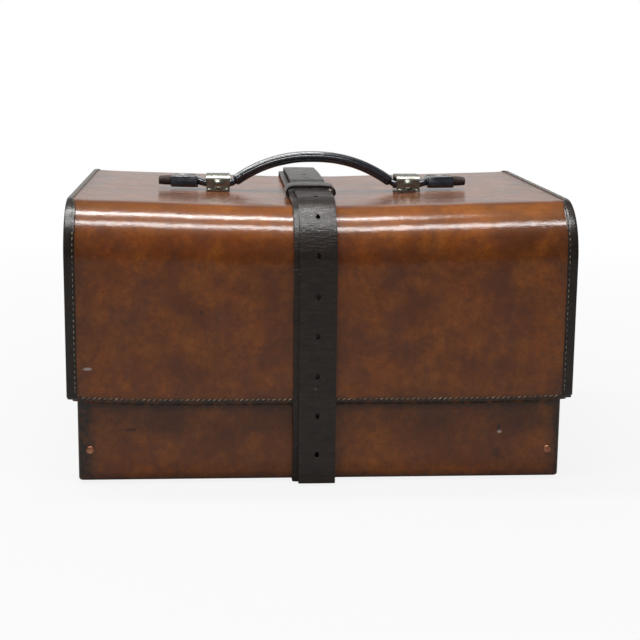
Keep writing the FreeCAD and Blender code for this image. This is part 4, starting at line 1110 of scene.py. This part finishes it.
def makeCore(settings):
    def shape(x, part):
        # The core widens to a neck where it passes through the loops
        away = abs(x)
        neck = settings["neckFrom"] < away < settings["neckTo"]
        y, n = squared(part, 20, 0.4, 0.5)
        y *= settings["neckHalfWide" if neck else "coreHalfWide"]
        n *= settings["neckHalfThick" if away > settings["neckFrom"] else "coreHalfThick"]
        return y, n + 0.1 * bumpy(x, y, n, 6.0)

    rings = handleRings(settings, settings["coreEnd"], 20, shape)
    piece = newPiece("handleCore", *loft(rings), handleHide, 60.0)
    carry(piece, "handle", "handle_leather", "handle_core")


tab = {
    "start": 113.7, "finish": 140.4, "low": 256.9, "high": 267.7,
    "wideStart": 16.0, "wideFinish": 11.0,
    # x, share of the width and how far the top is below high
    "rows": ((113.7, 0.80, 1.6), (115.1, 0.92, 0.5), (118.7, 1.0, 0.0), (122, 1.0, 0.0),
             (131, 1.0, 0.0), (137, 1.0, 0.0), (139.6, 0.97, 0.3), (140.4, 0.9, 1.2)),
    "endStart": 140.55, "endLong": 11.8, "endWide": 9.1, "endMiddle": 262.55, "endTall": 3.95,
    "ribs": 5, "ribSwell": (0.0, 0.75, 1.0, 0.75),
    "ovalMiddle": 127.0, "ovalLong": 9.4, "ovalWide": 7.2, "ovalStitches": 22, "ovalSunk": 0.42,
    "edgeWear": 0.35,
}


def makeTabs(settings):
    spots = []
    start, finish, low, middle = settings["start"], settings["finish"], settings["low"], handle["middle"]
    for side, tag in ((-1, "left"), (1, "right")):
        rings = []
        # A tab is a stack of leather with bevelled sides and a sunk top plate
        for x, half, drop in settings["rows"]:
            share = max(0, (x - start) / (finish - start)) ** 1.4
            wide = (settings["wideStart"] + (settings["wideFinish"] - settings["wideStart"]) * share) * half
            high = settings["high"] - drop
            right = [(0.96, low), (1.0, low + 1.2), (1.0, low + 5.2), (0.98, low + 5.8), (0.86, high - 0.5),
                     (0.80, high), (0.70, high), (0.66, high - 0.45)]
            ring = [(-1.0, low + 1.2), (-0.96, low)] + right + [(0.0, high - 0.3)]
            ring += [(-across, z) for across, z in right[:2:-1]] + [(-1.0, low + 5.2)]
            rings.append([(x * side, middle + across * wide, z) for across, z in ring])
        piece = newPiece("handleTab_" + tag, *loft(rings), handleHide, 38.0)
        wearEdges(piece, settings["edgeWear"], 30)
        carry(piece, "handle", "handle_leather", "handle_tab_" + tag)
        # A ribbed block of cut leather at the outer end
        rings = []
        count = settings["ribs"] * 4
        for index in range(count + 1):
            share = index / count
            swell = settings["ribSwell"][index % 4]
            x = settings["endStart"] + settings["endLong"] * share
            half = settings["endWide"] + 0.85 * swell - 1.6 * share ** 3
            tall = settings["endTall"] + 0.65 * swell - 0.8 * share ** 3
            ring = []
            for part in range(20):
                y, z = squared(part, 20, 0.55, 0.6)
                y, z = y * half, z * tall
                z += settings["endMiddle"] + 0.15 * bumpy(x * 3, y, z, 4.0)
                ring.append((x * side, middle + y, z))
            rings.append(ring)
        piece = newPiece("handleEnd_" + tag, *loft(rings), roughEnd, 70.0)
        carry(piece, "handle", "handle_leather", "handle_end_" + tag)
        # An oval of stitches on the top plate
        for index in range(settings["ovalStitches"]):
            angle = 2 * math.pi * index / settings["ovalStitches"]
            x = settings["ovalMiddle"] + settings["ovalLong"] * math.cos(angle)
            along = Vector((-settings["ovalLong"] * math.sin(angle),
                            settings["ovalWide"] * math.cos(angle), 0)).normalized()
            spots.append(((x * side, middle + settings["ovalWide"] * math.sin(angle),
                           settings["high"] - settings["ovalSunk"]),
                          (along.x * side, along.y, 0), (0, 0, 1)))
    rows = placeCopies("tabStitches", spots, stitchCopy, thread, (0.62, 0.75, 0.7), 0.0, 0.1, 7)
    carry(rows, "handle", "handle_leather")


makeGrip(handle)
makeCore(handle)
makeTabs(tab)
bpy.data.objects.remove(stitchCopy)
print("stage: handle")

# CAD pieces whose shape is right take their finish here

finishes = {
    "base_rim_binding": edging, "base_lining": drill, "base_corner_braces": braceHide,
    "base_rivet_burrs": copper, "lid_lining": drill,
    "handle_loop_left": nickel, "handle_loop_right": nickel, "loop_plate_left": birch,
    "loop_plate_right": birch, "buckle_frame": oldBrass, "buckle_bar": oldBrass, "buckle_prong": oldBrass,
}
for nodeName, material in finishes.items():
    slots = nodes[nodeName].data.materials
    if not len(slots):
        slots.append(material)
    for index in range(len(slots)):
        slots[index] = material
